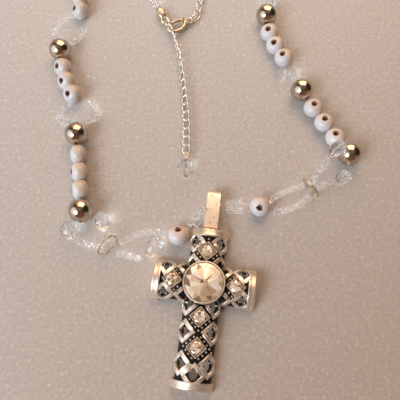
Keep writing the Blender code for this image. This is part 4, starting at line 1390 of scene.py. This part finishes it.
def chain(name, start, end, first_roll, last_roll):
    """Curb links whose faces turn steadily from the first roll to the last."""
    shape = Shape()
    along = (end - start).normalized()
    pitch = (end - start).length / RUN_LINKS
    for i in range(RUN_LINKS):
        roll = math.radians(first_roll + (last_roll - first_roll) * i / (RUN_LINKS - 1))
        curb_link(shape, start + along * pitch * i, along, pitch, roll)
    piece(f"{name}_links", shape, name, [BRIGHT], [name])


def extender():
    """The spare chain, twisted in its upper part, with the last run lying flat."""
    stops = [pivot(f"extender_chain_{k}") for k in (1, 2, 3, 4)] + [pivot("head_pin")]
    rolls = (110, 75, 55, 25, 10)
    for k in range(4):
        chain(f"extender_chain_{k + 1}", stops[k], stops[k + 1], rolls[k], rolls[k + 1])


def drop():
    """A head pin looped onto the last link, and the faceted drop that turns on it."""
    start = pivot("head_pin")
    axis = joint_axis("drop_crystal")
    eye = start + axis * (PIN_EYE_R - HOOK)
    aside = Vector((1, 0, 0))
    leaning = aside + axis.cross(aside).normalized() * (0.12 / PIN_EYE_R)
    shape = Shape()
    shape.hoop(eye, axis, leaning, PIN_EYE_R, PIN_R - 0.02, 24, 10)
    shape.tube([eye + axis * d for d in (PIN_EYE_R, 4.0, 8.4)], PIN_R, 10)
    head = ((8.2, PIN_R), (8.3, 0.6), (8.5, 0.72), (8.75, 0.66), (8.95, 0.35), (9.0, 0.05))
    shape.lathe(head, eye, axis, 20, capped=True)
    piece("head_pin_wire", shape, "head_pin", [CRIMP], ["head_pin"])
    cut_crystal("drop_crystal", "drop_crystal", axis, DROP_R, DROP_LENGTH, sides=12)


def crimp(name, direction, reach):
    """A folded crimp that grips the cords, with a flat eye."""
    start = pivot(name)
    direction = Vector(direction).normalized()
    side = direction.cross(UP)
    rows = (
        (0.0, 1.15, 1.0),
        (0.06, 1.4, 1.25),
        (0.3, 1.45, 1.35),
        (0.75, 1.4, 1.3),
        (0.86, 1.1, 0.9),
        (1.0, 0.75, 0.5),
    )
    rings = []
    for part, wide, tall in rows:
        middle = start + direction * (0.4 + reach * part)
        boxy = [(power(c, 0.7) * wide, power(s, 0.7) * tall) for c, s in around(24)]
        rings.append([middle + side * across + UP * rise for across, rise in boxy])
    shape = Shape()
    shape.skin(rings, capped=True)
    eye = start + direction * (0.4 + reach + 0.9)
    shape.hoop(eye, direction, side, CORD_EYE_R, EYE_WIRE_R)
    piece(f"{name}_crimp", shape, name, [CRIMP], [name], sharp=45)


def round_wire(name, body, centre, normal, radius, wire_r):
    _, side, across = square_to(normal)
    shape = Shape()
    shape.hoop(centre, side, across, radius, wire_r, 40)
    piece(name, shape, body, [BRIGHT], [body])


def on_clasp(x, y, z=0.0):
    return CLASP_NOSE + CLASP_AXIS * x + CLASP_LEFT * y + Vector((0, 0, z))


def rounded_wire(shape, points, radii, sides, start_sides, end_sides):
    """A wire of changing thickness with round ends."""
    shape.tube(points, radii, sides)
    shape.ball(points[0], radii[0] * 0.995, start_sides)
    shape.ball(points[-1], radii[-1] * 0.995, end_sides)


def clasp():
    """A lobster claw hooked through the end ring, its lever, and the ring at its back."""
    hook = ((7.4, -0.2), (6.6, -1.5), (4.8, -2.6), (2.8, -2.7), (1.1, -1.8), (0.5, -0.5), (0.9, 0.7))
    widths = (1.0, 0.85, 0.7, 0.65, 0.6, 0.6, 0.5)
    shape = Shape()
    rounded_wire(shape, curved([on_clasp(x, y) for x, y in hook]), curved(widths), 18, 18, 16)
    shape.hoop(on_clasp(9.0, -0.1), Vector((1, 0, 0)), Vector((0, 1, 0)), CLASP_EYE_R, EYE_WIRE_R)
    piece("clasp_body_claw", shape, "clasp_body", [CRIMP], ["clasp_body"], sharp=60)

    bar = curved([on_clasp(x, y) for x, y in ((7.3, 1.7), (6.6, 1.45), (4.2, 1.6), (1.75, 1.15))])
    radii = [0.4 + 0.1 * math.sin(math.pi * k / (len(bar) - 1)) for k in range(len(bar))]
    shape = Shape()
    rounded_wire(shape, bar, radii, 14, 14, 14)
    piece("clasp_lever_bar", shape, "clasp_lever", [CRIMP], ["clasp_lever"], sharp=60)

    back = on_clasp(10.6, 0.0, 0.45)
    round_wire("clasp_swivel_wire", "clasp_swivel_ring", back, CLASP_LEFT, 1.35, 0.3)
    chain("clasp_chain", pivot("clasp_chain"), Vector((-3.0, 89.2, 1.6)), 40, 70)


def end_ring():
    eye, far = pivot("end_ring"), pivot("clasp_body")
    reach = Vector((far.x - eye.x, far.y - eye.y, 0)).normalized()
    centre = far - reach * END_RING_R
    round_wire("end_ring_wire", "end_ring", centre, reach.cross(UP), END_RING_R, 0.33)


# --- Stage --------------------------------------------------------------------------------------


def floor():
    """A pale matt sheet, painted a little darker and warmer towards its near right corner: painted
    shade.
    """
    finish = Finish("floor_paper")
    place = finish.node("ShaderNodeTexCoord").outputs["Object"]
    # Painted shade: the colour fades from pale at the far left to darker and warmer at the near
    # right.
    share = finish.spread(finish.facing(place, (-0.45, 1.0, 0.0)), 0.0, 1.0, -70 * MM, 150 * MM)
    colour = finish.mix(share, (0.39, 0.335, 0.29), (0.55, 0.54, 0.535))
    stops = ((0.3, (0.88, 0.88, 0.88)), (0.6, (1.03, 1.03, 1.03)), (0.72, (1.3, 1.3, 1.3)))
    grain = finish.ramp(finish.noise(0.9, 5.0), stops)
    finish.set(Base_Color=finish.mix(1.0, colour, grain, "MULTIPLY"), Roughness=0.6)
    finish.bump(finish.noise(0.8, 5.0), 0.25, 0.4)
    half = 1500 * MM
    level = CAD_BOX[0][2]
    mesh = bpy.data.meshes.new("floor")
    corners = ((-half, -half), (half, -half), (half, half), (-half, half))
    mesh.from_pydata([(x, y, level) for x, y in corners], [], [(0, 1, 2, 3)])
    mesh.materials.append(finish.material)
    made = bpy.data.objects.new("floor", mesh)
    bpy.context.scene.collection.objects.link(made)


def softbox(name, place, size, watts, colour):
    """A square light that faces the middle of the necklace."""
    light = bpy.data.lights.new(name, "AREA")
    light.size = size * MM
    light.energy = watts
    light.color = colour
    made = bpy.data.objects.new(name, light)
    made.location = Vector(place) * MM
    towards = Vector((0, 20, 0)) - Vector(place)
    made.rotation_euler = towards.to_track_quat("-Z", "Y").to_euler()
    bpy.context.scene.collection.objects.link(made)


def surroundings():
    """A dim room with paler walls, a warm patch beyond the top and a bright side to the left."""
    world = bpy.data.worlds.new("room")
    bpy.context.scene.world = world
    world.use_nodes = True
    nodes = Nodes(world.node_tree)
    place = nodes.node("ShaderNodeTexCoord").outputs["Generated"]
    height = nodes.node("ShaderNodeSeparateXYZ", {0: place}).outputs["Z"]
    stops = (
        (0.0, (0.50, 0.44, 0.38)),
        (0.30, (0.42, 0.36, 0.30)),
        (0.55, (0.12, 0.09, 0.065)),
        (0.80, (0.10, 0.065, 0.045)),
        (0.97, (0.36, 0.25, 0.17)),
    )
    colour = nodes.ramp(height, stops)
    patches = (
        ((0.0, 0.80, 0.60), 0.80, 0.93, (1.5, 0.80, 0.42)),
        ((-0.80, -0.30, 0.50), 0.75, 0.96, (1.7, 1.75, 1.85)),
        ((0.10, -0.90, 0.35), 0.70, 0.95, (0.30, 0.15, 0.09)),
        ((0.90, 0.10, 0.40), 0.80, 0.97, (0.05, 0.04, 0.03)),
    )
    for direction, outer, inner, glow in patches:
        near = nodes.facing(place, Vector(direction).normalized())
        fade = nodes.spread(near, 0.0, 1.0, outer, inner, interpolation_type="SMOOTHSTEP")
        colour = nodes.mix(fade, colour, glow)
    background = world.node_tree.nodes["Background"]
    nodes.feed(background, "Color", colour)
    nodes.feed(background, "Strength", 0.75)


def camera():
    data = bpy.data.cameras.new("camera")
    data.angle = math.radians(48.0)
    data.clip_start = 0.005
    made = bpy.data.objects.new("camera", data)
    made.location = Vector((-4.38, -42.87, 141.5)) * MM
    made.rotation_euler = (math.radians(18.0), 0, 0)
    bpy.context.scene.collection.objects.link(made)
    bpy.context.scene.camera = made


def stage():
    floor()
    softbox("window", (-300, -260, 330), 230, 1.7, (0.86, 0.93, 1.0))
    softbox("lamp", (60, 330, 330), 420, 1.35, (1.0, 0.81, 0.64))
    surroundings()
    camera()
    bpy.context.scene.view_settings.view_transform = "Standard"


centre_strands()
strand_side("right", RIGHT)
strand_side("left", LEFT)
left_first_oval()
forks()
binder_rings()
for bead in sorted(name for name in frame["bodies"] if name.startswith("steel_bead")):
    steel_ball(bead)
cross()
crimp("left_cord_end", (0.4, -0.92, 0), 4.6)
crimp("right_cord_end", (-0.25, -0.95, 0), 4.2)
end_ring()
clasp()
extender()
drop()
stage()
